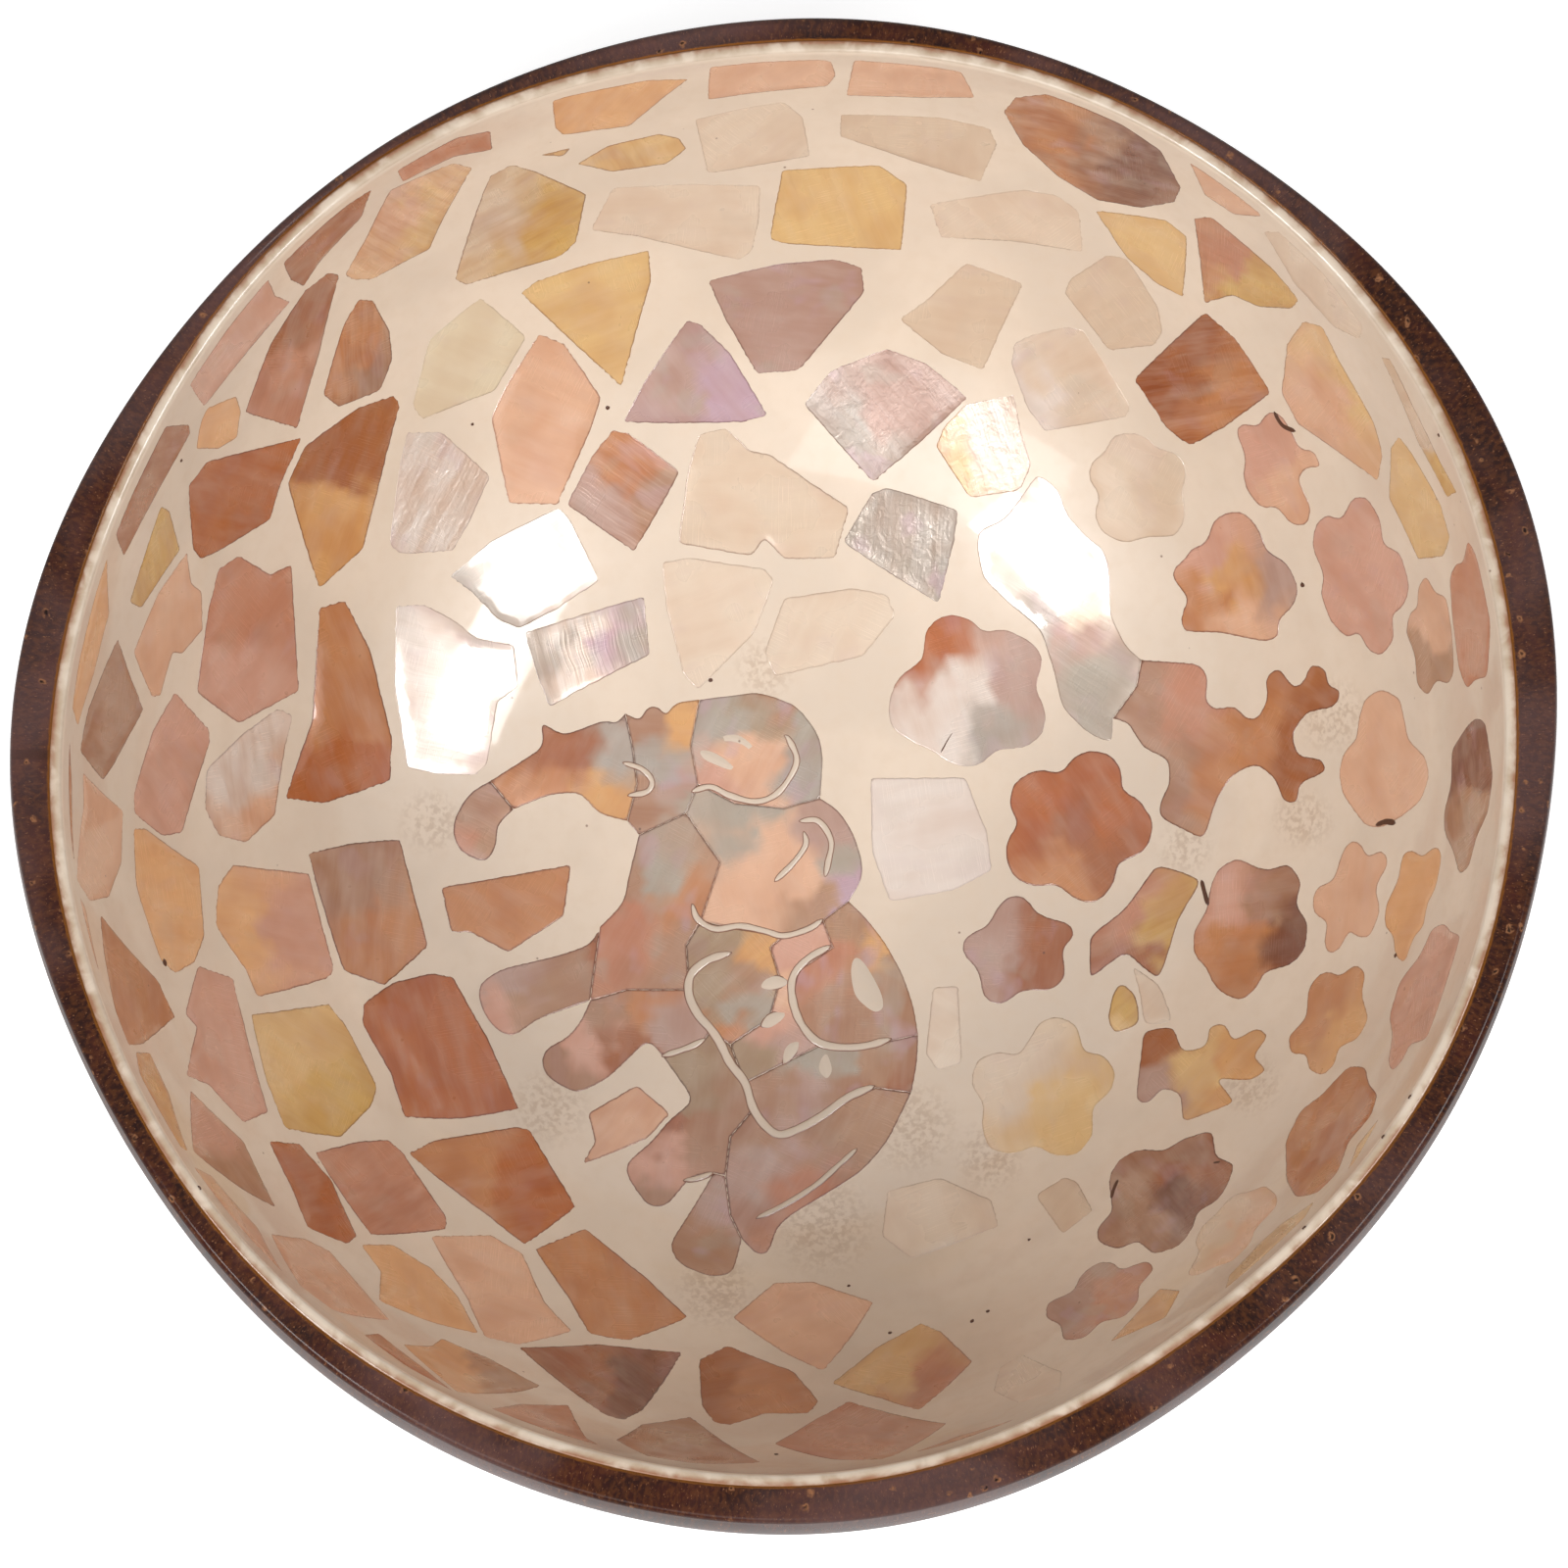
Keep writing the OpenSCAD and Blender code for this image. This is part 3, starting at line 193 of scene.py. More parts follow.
class BowlColours(PropertyGroup):
    """Colours of the shell, the cream and the nacre."""

    cream: shade("Cream ground", (0.87, 0.805, 0.73))
    dust: shade("Dust in the cream", (0.66, 0.55, 0.45))
    shell: shade("Coconut shell", (0.19, 0.088, 0.062))
    husk: shade("Husk fibres", (0.62, 0.42, 0.29))
    resin: shade("Resin at the rim", (0.5, 0.3, 0.1))
    pearl: shade("Pearl", (0.87, 0.82, 0.78))
    pale: shade("Pale nacre", (0.85, 0.775, 0.69))
    beige: shade("Beige nacre", (0.82, 0.735, 0.64))
    green: shade("Greenish nacre", (0.85, 0.79, 0.68))
    gold: shade("Golden nacre", (0.86, 0.72, 0.5))
    amber: shade("Amber nacre", (0.825, 0.62, 0.39))
    apricot: shade("Apricot nacre", (0.88, 0.68, 0.48))
    peach: shade("Peach nacre", (0.86, 0.685, 0.565))
    pink: shade("Pink nacre", (0.81, 0.62, 0.54))
    rose: shade("Rose nacre", (0.74, 0.505, 0.39))
    orange: shade("Orange nacre", (0.735, 0.495, 0.315))
    rust: shade("Rust nacre", (0.67, 0.365, 0.145))
    umber: shade("Umber nacre", (0.61, 0.355, 0.185))
    dark: shade("Dark nacre", (0.45, 0.255, 0.18))
    olive: shade("Olive nacre", (0.8, 0.645, 0.355))
    moss: shade("Moss nacre", (0.63, 0.53, 0.42))
    # Painted sheen: a purple-grey reflection of the light, painted in patches on the shell
    bloom: shade("Bloom on the shell", (0.42, 0.32, 0.31))
    mauve: shade("Mauve nacre", (0.655, 0.495, 0.39))
    lilac: shade("Lilac nacre", (0.7, 0.575, 0.525))
    taupe: shade("Taupe nacre", (0.675, 0.52, 0.405))
    silver: shade("Silver nacre", (0.66, 0.62, 0.58))
    aqua: shade("Aqua gleam", (0.66, 0.62, 0.565))
    violet: shade("Violet gleam", (0.72, 0.6, 0.65))


class StageSizes(PropertyGroup):
    """Camera, floor and lights."""

    distance: metres("Distance", "Camera to the middle of the rim", 0.55)
    tilt: FloatProperty(name="Tilt", description="Camera's line of sight from straight down",
                        default=math.radians(9), unit="ROTATION")
    floor: metres("Floor", "Width of the floor", 4)
    sky: FloatProperty(name="Sky", description="Strength of the white room", default=0.37)
    window: FloatProperty(name="Window", description="Power of the window light", default=5, unit="POWER")
    lamp: FloatProperty(name="Lamp", description="Power of the small lamp", default=2.1, unit="POWER")


def sizes():
    return bpy.context.scene.bowl_sizes


def inlay():
    return bpy.context.scene.inlay_sizes


def linear(word):
    """A named colour as the shader wants it."""
    return [c ** 2.2 for c in getattr(bpy.context.scene.bowl_colours, word)]


# Form of the bowl, in metres

def waves(terms, a):
    return sum(share * np.cos(count * (a - math.radians(crest))) for share, count, crest in terms)


def lobe(x, fullness):
    return np.maximum(0, 1 - np.abs(x) ** fullness) ** (1 / fullness)


def rim_radius(a):
    return sizes().rim / 2 * (1 + waves(RIM_WAVE_SHARES, a))


def edge_width(a):
    return sizes().edge * (1 + waves(EDGE_WAVE_SHARES, a))


def mouth_radius(a):
    return rim_radius(a) - edge_width(a) - sizes().cream_edge


def wall_depth():
    return sizes().height - sizes().floor + sizes().lift


def mouth_share():
    """Share of the wall's full radius that is reached at the rim."""
    return float(lobe(sizes().lift / wall_depth(), INNER_FULLNESS))


def wall_at(a, share):
    """Point of the inner wall in a direction, at a share of the full radius."""
    r = mouth_radius(a) / mouth_share() * share
    z = sizes().height + sizes().lift - wall_depth() * lobe(share, INNER_FULLNESS)
    return np.stack([r * np.cos(a), r * np.sin(a), z], -1)


def wall_lengths():
    """Shares of the full radius, and the length of the wall from the floor's middle up to each."""
    shares = mouth_share() * np.sin(np.linspace(0, math.pi / 2, WALL_POINTS))
    line = wall_at(np.zeros_like(shares) + WALL_DIRECTION, shares)
    steps = np.linalg.norm(np.diff(line, axis=0), axis=1)
    return shares, np.concatenate([[0], np.cumsum(steps)])


WALL = {}


def wall_table():
    """The measured wall, measured again when a size has changed."""
    s = sizes()
    made_from = (s.rim, s.height, s.edge, s.floor, s.cream_edge, s.lift)
    if WALL.get("made_from") != made_from:
        WALL.update(made_from=made_from, table=wall_lengths())
    return WALL["table"]


def unrolled(points):
    """Points on the wall laid flat: their direction, at their length along the wall."""
    a = np.arctan2(points[:, 1], points[:, 0])
    share = np.hypot(points[:, 0], points[:, 1]) * mouth_share() / mouth_radius(a)
    length = np.interp(share, *wall_table())
    return np.stack([length * np.cos(a), length * np.sin(a)], -1)


def rolled(flat):
    """The other way: flat points back on the wall."""
    a = np.arctan2(flat[:, 1], flat[:, 0])
    shares, lengths = wall_table()
    return wall_at(a, np.interp(np.hypot(flat[:, 0], flat[:, 1]), lengths, shares))


def wall_normals(flat):
    small = 2e-5
    along = rolled(flat + [small, 0]) - rolled(flat - [small, 0])
    across = rolled(flat + [0, small]) - rolled(flat - [0, small])
    n = np.cross(along, across)
    return n / np.linalg.norm(n, axis=1)[:, None]


def outer_profile():
    """The shell's outside from foot to rim: shares of the belly's radius, heights, and the rim's share."""
    s = sizes()
    belly = s.height - s.drop
    semi = belly / lobe(s.foot / s.rim, OUTER_FULLNESS)
    top = -np.arcsin((s.drop - s.edge_round) / semi)
    turn = top + (math.pi / 2 - top) * (1 - np.linspace(0, 1, s.up_steps))
    heights = np.maximum(0, belly - semi * np.sin(turn))
    return np.cos(turn), heights, float(lobe(s.drop / semi, OUTER_FULLNESS))


# Making meshes

def made(name, verts, faces, slot, *nodes):
    """A piece that rides on the bowl and stands for the named nodes."""
    mesh = bpy.data.meshes.new(name)
    mesh.from_pydata([tuple(v) for v in verts], [], [tuple(int(i) for i in f) for f in faces])
    mesh.update()
    for polygon in mesh.polygons:
        polygon.use_smooth = True
    piece = bpy.data.objects.new(name, mesh)
    bpy.context.collection.objects.link(piece)
    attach(piece, "root")
    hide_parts(*nodes)
    return piece


def marks(piece, name, kind, values):
    """Values that the material reads at each point of the mesh."""
    layer = piece.data.attributes.new(name, kind, "POINT")
    field = {"FLOAT": "value", "FLOAT_VECTOR": "vector", "FLOAT_COLOR": "color"}[kind]
    layer.data.foreach_set(field, np.asarray(values, np.float32).ravel())


def ring_faces(first, second, count):
    """Faces between two rings of points."""
    i = np.arange(count)
    j = (i + 1) % count
    return np.stack([first + i, first + j, second + j, second + i], -1)


def sleeve(count, rings, start=0):
    """Faces along all the rings of a skin."""
    return [quad for k in range(rings - 1)
            for quad in ring_faces(start + k * count, start + (k + 1) * count, count).tolist()]


def lathe(rings, floor_first, floor_last):
    """A closed skin through rings of points, from one middle point to another."""
    count = len(rings[0])
    verts = np.concatenate([[floor_first], *rings, [floor_last]])
    faces = [(0, 1 + (i + 1) % count, 1 + i) for i in range(count)]
    faces += sleeve(count, len(rings), 1)
    base, last = 1 + (len(rings) - 1) * count, len(verts) - 1
    faces += [(last, base + i, base + (i + 1) % count) for i in range(count)]
    return verts, faces


# Reading the inlays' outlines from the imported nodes

def packed_islands(node):
    """Each inlay of a node as its corners on a fine grid, and its triangles."""
    mesh = frame["nodes"][node].data
    mesh.calc_loop_triangles()
    co = np.array([v.co for v in mesh.vertices])
    places, same = np.unique(np.round(co / GRAIN).astype(np.int64), axis=0, return_inverse=True)
    tris = same.ravel()[np.array([t.vertices[:] for t in mesh.loop_triangles])]
    root = np.arange(len(places))

    def top(i):
        while root[i] != i:
            i = root[i]
        return i

    for a, b, c in tris:
        root[top(b)] = top(a)
        root[top(c)] = top(a)
    names = np.array([top(i) for i in range(len(places))])
    for name in np.unique(names[tris[:, 0]]):
        yield places * GRAIN, tris[names[tris[:, 0]] == name]


def top_outline(places, tris):
    """The upper outline of a slab, as points in order."""
    edges = {(int(t[i]), int(t[(i + 1) % 3])) for t in tris for i in range(3)}
    middle = places[np.unique(tris)].mean(0)
    inward = np.array([0, 0, sizes().height + sizes().lift]) - middle
    rises = Counter()
    for a, b in edges:
        rise = places[b] - places[a]
        if abs(np.linalg.norm(rise) - inlay().slab) < NEAR and rise @ inward > 0:
            rises[tuple(np.round(rise, 6))] += 1
    way = np.array(rises.most_common(1)[0][0])
    upper = {b for a, b in edges if np.linalg.norm(places[b] - places[a] - way) < NEAR}
    caps = [t for t in tris if all(int(i) in upper for i in t)]
    rim = {(int(t[i]), int(t[(i + 1) % 3])) for t in caps for i in range(3)}
    after = {a: b for a, b in rim if (b, a) not in rim}
    if not after:
        raise RuntimeError("An inlay's upper face wasn't found")
    loop = [next(iter(after))]
    while len(loop) < len(after) and after[loop[-1]] != loop[0]:
        loop.append(after[loop[-1]])
    return places[loop]


def side(p, loop):
    """Distance of points from a closed outline, and whether they are inside it."""
    a, b = loop, np.roll(loop, -1, axis=0)
    d = b - a
    rel = p[:, None] - a[None]
    t = np.clip((rel * d).sum(-1) / np.maximum((d * d).sum(-1), 1e-16), 0, 1)
    distance = np.linalg.norm(rel - t[..., None] * d, axis=-1).min(1)
    above = (a[:, 1] > p[:, None, 1]) != (b[:, 1] > p[:, None, 1])
    slope = (p[:, None, 1] - a[:, 1]) / np.where(d[:, 1] == 0, 1e-16, d[:, 1])
    crossed = above & (p[:, None, 0] < a[:, 0] + slope * d[:, 0])
    return distance, crossed.sum(1) % 2 == 1


def stepped(loop, step, corners_held):
    """Points at equal steps along each side, and which of them stay where they are."""
    points, held = [], []
    for k, (p, q) in enumerate(zip(loop, np.roll(loop, -1, axis=0))):
        count = max(1, int(round(np.linalg.norm(q - p) / step)))
        for i in range(count):
            points.append(p + (q - p) * i / count)
            held.append(corners_held[k] and (i == 0 or corners_held[(k + 1) % len(loop)]))
    return np.array(points), np.array(held)


def eased(points, held, passes):
    """Corners rounded by easing each point towards its neighbours."""
    for _ in range(passes):
        calm = (np.roll(points, 1, 0) + np.roll(points, -1, 0)) / 4 + points / 2
        points = np.where(held[:, None], points, calm)
    return points


def chipped(points, held, size):
    """A cut edge, ragged at two scales."""
    along = np.roll(points, -1, 0) - np.roll(points, 1, 0)
    out = np.stack([along[:, 1], -along[:, 0]], -1)
    out /= np.maximum(np.linalg.norm(out, axis=1), 1e-9)[:, None]
    rough = [noise.noise(Vector((*(p / CHIP_COARSE), 3)))
             + CHIP_FINE_SHARE * noise.noise(Vector((*(p / CHIP_FINE), 7))) for p in points]
    return points + out * (np.array(rough) * size * ~held)[:, None]


def triangulated(points, loop_count):
    """Triangles through points, inside the outline that the first of them draw."""
    loop = [(i, (i + 1) % loop_count) for i in range(loop_count)]
    verts, _, faces, *_ = delaunay_2d_cdt([Vector(p / MM) for p in points], loop, [], 1, 1e-7)
    return np.array(verts) * MM, [f for f in faces if len(set(f)) > 2]


def inside_points(outline):
    """Points for the face of an inlay: two rows along its edge, then an even field."""
    s = inlay()
    along = np.roll(outline, -1, 0) - np.roll(outline, 1, 0)
    inward = np.stack([-along[:, 1], along[:, 0]], -1)
    inward /= np.maximum(np.linalg.norm(inward, axis=1), 1e-9)[:, None]
    rows = []
    for offset in (share * s.step for share in EDGE_ROW_SHARES):
        row = outline + inward * offset
        far, within = side(row, outline)
        rows.append(row[within & (far > 0.85 * offset)])
    low, high = outline.min(0), outline.max(0)
    rise = s.grid * math.sqrt(3) / 2
    ys = np.arange(low[1], high[1], rise)
    xs = np.arange(low[0], high[0], s.grid)
    field = np.array([(x + (k % 2) * s.grid / 2, y) for k, y in enumerate(ys) for x in xs])
    far, within = side(field, outline)
    return np.concatenate([*rows, field[within & (far > FIELD_SHARE * s.step)]])


def smooth_step(x, low, high):
    t = np.clip((x - low) / (high - low), 0, 1)
    return t * t * (3 - 2 * t)


def flat_lift(flat, outline):
    """How far a flat slab through the outline stands off the curved wall at each point."""
    corners = rolled(outline)
    middle = corners.mean(0)
    way = np.linalg.svd(corners - middle)[2][2]
    n = wall_normals(flat)
    return ((middle - rolled(flat)) @ way) / np.where(np.abs(n @ way) < SLANT_SHARE, 1, n @ way)


def slab(outline, flatness, low=0, high=None):
    """A closed inlay: flat places, top, faces, underside, sides and distance from the edge."""
    s = inlay()
    flat, faces = triangulated(np.concatenate([outline, inside_points(outline)]), len(outline))
    far, _ = side(flat, outline)
    edge = smooth_step(far, 0, LEVEL_SHARE * s.step)
    bulge = np.clip(flat_lift(flat, outline), BULGE_LOW, BULGE_HIGH) * flatness
    high = s.proud if high is None else high
    lift = low + (high - low + np.maximum(bulge, -SINK_SHARE * s.proud)) * edge
    normals = wall_normals(flat)
    top = rolled(flat) + normals * lift[:, None]
    bottom = rolled(flat) - normals * s.skirt
    count = len(flat)
    rim = {(f[i], f[(i + 1) % len(f)]) for f in faces for i in range(len(f))}
    walls = [(b, a, count + a, count + b) for a, b in rim if (b, a) not in rim]
    below = [[count + i for i in reversed(face)] for face in faces]
    return flat, top, [list(face) for face in faces] + below, bottom, [list(wall) for wall in walls], far


def line_of_sight():
    """The camera's place, the way it looks and the way that is up in its picture."""
    stage = bpy.context.scene.bowl_stage
    sight = np.array((0, math.sin(stage.tilt), -math.cos(stage.tilt)))
    up = np.array((0, math.cos(stage.tilt), math.sin(stage.tilt)))
    return np.array((0, 0, sizes().height)) - sight * stage.distance, sight, up


def photo_px(points):
    """The pixels of the photograph that points are seen at."""
    eye, sight, up = line_of_sight()
    rel = points - eye
    scale = RIM_PX / sizes().rim * bpy.context.scene.bowl_stage.distance / (rel @ sight)
    return np.stack([MIDDLE_PX[0] + rel[:, 0] * scale, MIDDLE_PX[1] - rel @ up * scale], -1)


def wall_seen(pixels):
    """Places on the wall, laid flat, that the photograph shows at these pixels."""
    s = sizes()
    eye, sight, up = line_of_sight()
    per_px = s.rim / RIM_PX / bpy.context.scene.bowl_stage.distance
    offsets = (np.asarray(pixels, float) - MIDDLE_PX) * per_px
    rays = sight + offsets[:, :1] * np.array((1, 0, 0)) - offsets[:, 1:] * up
    near = (eye[2] - s.height) / -rays[:, 2]
    far = (eye[2] - s.floor) / -rays[:, 2]
    for _ in range(SEARCH_STEPS):
        half = (near + far) / 2
        p = eye + rays * half[:, None]
        a = np.arctan2(p[:, 1], p[:, 0])
        share = np.minimum(np.hypot(p[:, 0], p[:, 1]) * mouth_share() / mouth_radius(a), WIDEST_SHARE)
        hollow = p[:, 2] > wall_at(a, share)[:, 2]
        near = np.where(hollow, half, near)
        far = np.where(hollow, far, half)
    return unrolled(eye + rays * near[:, None])


# Tones of the nacre: where the photograph shows each, and its colour

ISLAND_TONES = {
    "ivory_tiles_north": (
        (768, 139, "pale"), (945, 143, "beige"), (700, 219, "pale"), (1033, 223, "pale"),
        (1139, 310, "beige"), (986, 320, "beige")),
    "ivory_tiles_centre": (
        (475, 366, "green"), (727, 623, "pale"), (843, 641, "pale"), (946, 853, "pearl"),
        (1087, 1229, "beige"), (954, 1242, "cream"), (964, 1050, "cream")),
    "ivory_tiles_east": ((1343, 290, "pale"), (1048, 1408, "cream")),
    "pearl_tiles": (
        (540, 582, "pearl"), (500, 640, "silver"), (456, 705, "pearl"), (1088, 387, "pale"),
        (1050, 410, "pearl")),
    "crinkled_tiles": ((443, 504, "pearl"), (1007, 456, "pearl"), (975, 470, "gold")),
    "abalone_tiles": ((925, 549, "silver"), (901, 416, "lilac"), (880, 440, "silver")),
    "striped_tile": (
        (560, 665, "silver"), (597, 640, "pearl"), (593, 690, "pearl"), (618, 650, "violet"),
        (645, 655, "silver")),
    "peach_tiles_north": ((786, 71, "peach"), (929, 76, "peach"), (771, 514, "beige")),
    "peach_tiles_west": (
        (172, 639, "peach"), (100, 859, "peach"), (223, 433, "apricot"), (85, 661, "apricot"),
        (87, 972, "peach")),
    "peach_tiles_south": (
        (328, 1302, "peach"), (425, 1315, "apricot"), (509, 1315, "peach"), (460, 1398, "apricot"),
        (510, 1400, "taupe"), (240, 1241, "peach"), (822, 1347, "peach")),
    "golden_tiles_north": (
        (610, 313, "gold"), (554, 431, "peach"), (619, 104, "apricot"), (858, 211, "gold"),
        (1175, 251, "gold"), (1254, 191, "peach")),
    "golden_tiles_east": (
        (1350, 415, "peach"), (1385, 390, "gold"), (1446, 514, "gold"), (1450, 438, "beige"),
        (1470, 470, "olive"), (1391, 1170, "gold"), (1297, 1273, "gold"), (1175, 1339, "amber")),
    "golden_tiles_south": (
        (310, 1080, "gold"), (345, 1120, "olive"), (765, 1417, "orange"), (740, 1410, "umber"),
        (920, 1390, "gold"), (945, 1410, "rose")),
    "rose_tiles": (
        (238, 343, "pink"), (174, 784, "pink"), (254, 640, "rose"), (250, 690, "pink"), (290, 947, "pink"),
        (250, 950, "apricot"), (227, 1066, "pink"), (172, 918, "apricot")),
    "rust_tiles_west": (
        (240, 505, "rust"), (349, 475, "umber"), (345, 520, "amber"), (350, 720, "orange"),
        (345, 790, "rust"), (135, 1010, "orange"), (320, 1217, "rust"), (229, 1165, "pink"),
        (235, 1195, "taupe"), (64, 808, "orange")),
    "rust_tiles_south": (
        (519, 924, "orange"), (445, 1072, "rust"), (490, 1200, "orange"), (535, 1205, "rust"),
        (637, 1146, "peach"), (619, 1315, "orange"), (411, 1389, "rust"), (877, 1464, "rose"),
        (558, 1454, "rose"), (981, 1471, "orange")),
    "umber_tiles_north": (
        (444, 152, "rose"), (325, 242, "umber"), (299, 380, "rose"), (300, 335, "umber"),
        (147, 490, "umber")),
    "umber_tiles_south": (
        (370, 910, "mauve"), (385, 945, "orange"), (112, 729, "mauve"), (390, 1213, "rose"),
        (620, 1395, "umber"), (640, 1415, "dark"), (701, 1477, "umber"), (700, 1465, "taupe"),
        (810, 1503, "dark")),
    "olive_tiles": (
        (569, 155, "gold"), (649, 155, "gold"), (520, 225, "beige"), (545, 235, "olive"),
        (158, 568, "olive"), (1255, 265, "rose"), (1270, 290, "olive"), (159, 1120, "amber")),
    "oval_tile": ((1130, 150, "mauve"), (1085, 150, "orange"), (1150, 150, "dark")),
    "lilac_tiles": ((803, 315, "lilac"), (710, 392, "lilac"), (730, 400, "violet")),
    "banded_tiles": (
        (1215, 380, "umber"), (1245, 400, "orange"), (405, 220, "peach"), (430, 235, "gold"),
        (355, 355, "orange"), (385, 375, "mauve")),
    "veined_tiles": (
        (620, 515, "lilac"), (640, 480, "orange"), (660, 510, "taupe"), (253, 795, "pearl"),
        (270, 820, "peach")),
    "flower_pearl": (
        (960, 660, "rust"), (985, 700, "pearl"), (970, 750, "pearl"), (1030, 700, "lilac"),
        (1010, 750, "silver")),
    "flower_rust": (
        (1060, 820, "rust"), (1098, 844, "umber"), (1130, 830, "rust"), (1090, 890, "orange"),
        (1125, 880, "umber")),
    "flower_amber": (
        (1240, 570, "pink"), (1261, 594, "amber"), (1230, 620, "orange"), (1300, 590, "lilac"),
        (1270, 630, "peach")),
    "flowers_pale": (
        (1145, 490, "pale"), (1180, 510, "beige"), (1050, 1100, "pale"), (1080, 1125, "gold"),
        (1245, 1245, "pale"), (1270, 1262, "peach")),
    "flowers_pink": ((1290, 470, "pink"), (1315, 490, "peach"), (1389, 586, "pink"), (1451, 1013, "pink")),
    "flowers_rim": ((1461, 640, "peach"), (1461, 665, "taupe"), (1502, 630, "rose")),
    "flower_smoke": ((1500, 790, "dark"), (1500, 830, "taupe")),
    "flowers_peach": ((1412, 780, "peach"), (1379, 915, "peach"), (1441, 916, "apricot")),
    "flower_rose_brown": (
        (1255, 925, "pink"), (1265, 965, "orange"), (1290, 930, "mauve"), (1310, 955, "dark")),
    "flowers_lilac": (
        (1020, 970, "lilac"), (1058, 970, "umber"), (1105, 1320, "lilac"), (1135, 1330, "rose")),
    "flower_orange": ((1345, 1030, "orange"), (1370, 1050, "amber")),
    "flower_copper": ((1345, 1145, "orange"), (1365, 1165, "rust")),
    "flower_dark": (
        (1165, 1200, "mauve"), (1200, 1225, "dark"), (1210, 1200, "umber"), (1175, 1245, "mauve")),
    "tree_pearl": (
        (1040, 560, "pearl"), (1090, 540, "pearl"), (1110, 620, "pale"), (1112, 685, "aqua"),
        (1100, 655, "lilac"), (1130, 600, "pearl"), (1070, 640, "silver")),
    "tree_brown": (
        (1150, 720, "mauve"), (1220, 720, "rose"), (1280, 740, "orange"), (1330, 760, "umber"),
        (1190, 790, "mauve"), (1250, 800, "orange")),
    "small_tree_brown": ((1150, 930, "rose"), (1180, 950, "olive"), (1160, 980, "umber")),
    "small_tree_gold": (
        (1190, 1065, "umber"), (1222, 1090, "gold"), (1250, 1095, "amber"), (1170, 1115, "lilac")),
    "small_tree_leaf": ((1147, 1031, "olive"), (1140, 1045, "gold")),
    "small_tree_stem": ((1176, 1021, "pale"),),
    "elephant_trunk_tip": ((480, 825, "mauve"), (500, 850, "taupe"), (470, 860, "rose")),
    "elephant_trunk": (
        (560, 770, "umber"), (600, 760, "umber"), (570, 800, "orange"), (610, 815, "amber"),
        (540, 830, "orange"), (625, 765, "silver")),
    "elephant_forehead": (
        (660, 740, "mauve"), (670, 780, "silver"), (655, 820, "mauve"), (708, 738, "amber"),
        (690, 800, "lilac"), (700, 850, "lilac"), (710, 830, "aqua"), (735, 860, "violet"),
        (690, 880, "umber"), (725, 900, "pink")),
    "elephant_crown": (
        (755, 780, "peach"), (720, 745, "silver"), (740, 720, "aqua"), (800, 720, "taupe"),
        (825, 750, "aqua"), (830, 790, "silver"), (775, 765, "peach"), (730, 790, "pink"),
        (780, 735, "moss")),
    "elephant_ear": (
        (790, 860, "peach"), (765, 840, "aqua"), (770, 900, "peach"), (820, 900, "peach"),
        (850, 850, "lilac"), (862, 880, "aqua"), (868, 905, "violet"), (830, 920, "taupe")),
    "elephant_chest": (
        (650, 900, "mauve"), (690, 920, "orange"), (670, 900, "aqua"), (640, 940, "rose"),
        (700, 960, "mauve")),
    "elephant_foreleg": (
        (640, 940, "orange"), (620, 960, "umber"), (590, 990, "mauve"), (540, 1020, "taupe"),
        (500, 1040, "pink"), (520, 1000, "lilac")),
    "elephant_knee": (
        (600, 1060, "pink"), (570, 1090, "mauve"), (650, 1030, "orange"), (680, 1050, "lilac"),
        (640, 1075, "umber"), (615, 1030, "mauve")),
    "elephant_saddle": (
        (740, 970, "moss"), (760, 1000, "taupe"), (730, 1020, "moss"), (770, 1030, "aqua"),
        (745, 1060, "orange"), (785, 975, "amber")),
    "elephant_flank": (
        (800, 985, "pink"), (800, 1010, "peach"), (790, 1050, "pink"), (830, 1020, "mauve"),
        (840, 1040, "orange"), (770, 1080, "moss"), (800, 1075, "lilac")),
    "elephant_back": (
        (870, 940, "taupe"), (900, 960, "amber"), (910, 1010, "taupe"), (880, 1030, "mauve"),
        (915, 1080, "silver"), (840, 970, "rose")),
    "elephant_rump": (
        (800, 1110, "mauve"), (825, 1075, "aqua"), (860, 1085, "aqua"), (890, 1120, "umber"),
        (820, 1120, "lilac"), (860, 1115, "mauve"), (880, 1090, "taupe")),
    "elephant_thigh": (
        (780, 1150, "mauve"), (840, 1170, "mauve"), (820, 1210, "rose"), (870, 1150, "taupe"),
        (790, 1190, "lilac")),
    "elephant_hind_foot": ((740, 1240, "lilac"), (720, 1270, "mauve"), (760, 1220, "lilac")),
    "elephant_shin": (
        (700, 1110, "moss"), (690, 1140, "umber"), (715, 1160, "mauve"), (670, 1190, "pink"),
        (660, 1220, "mauve")),
}

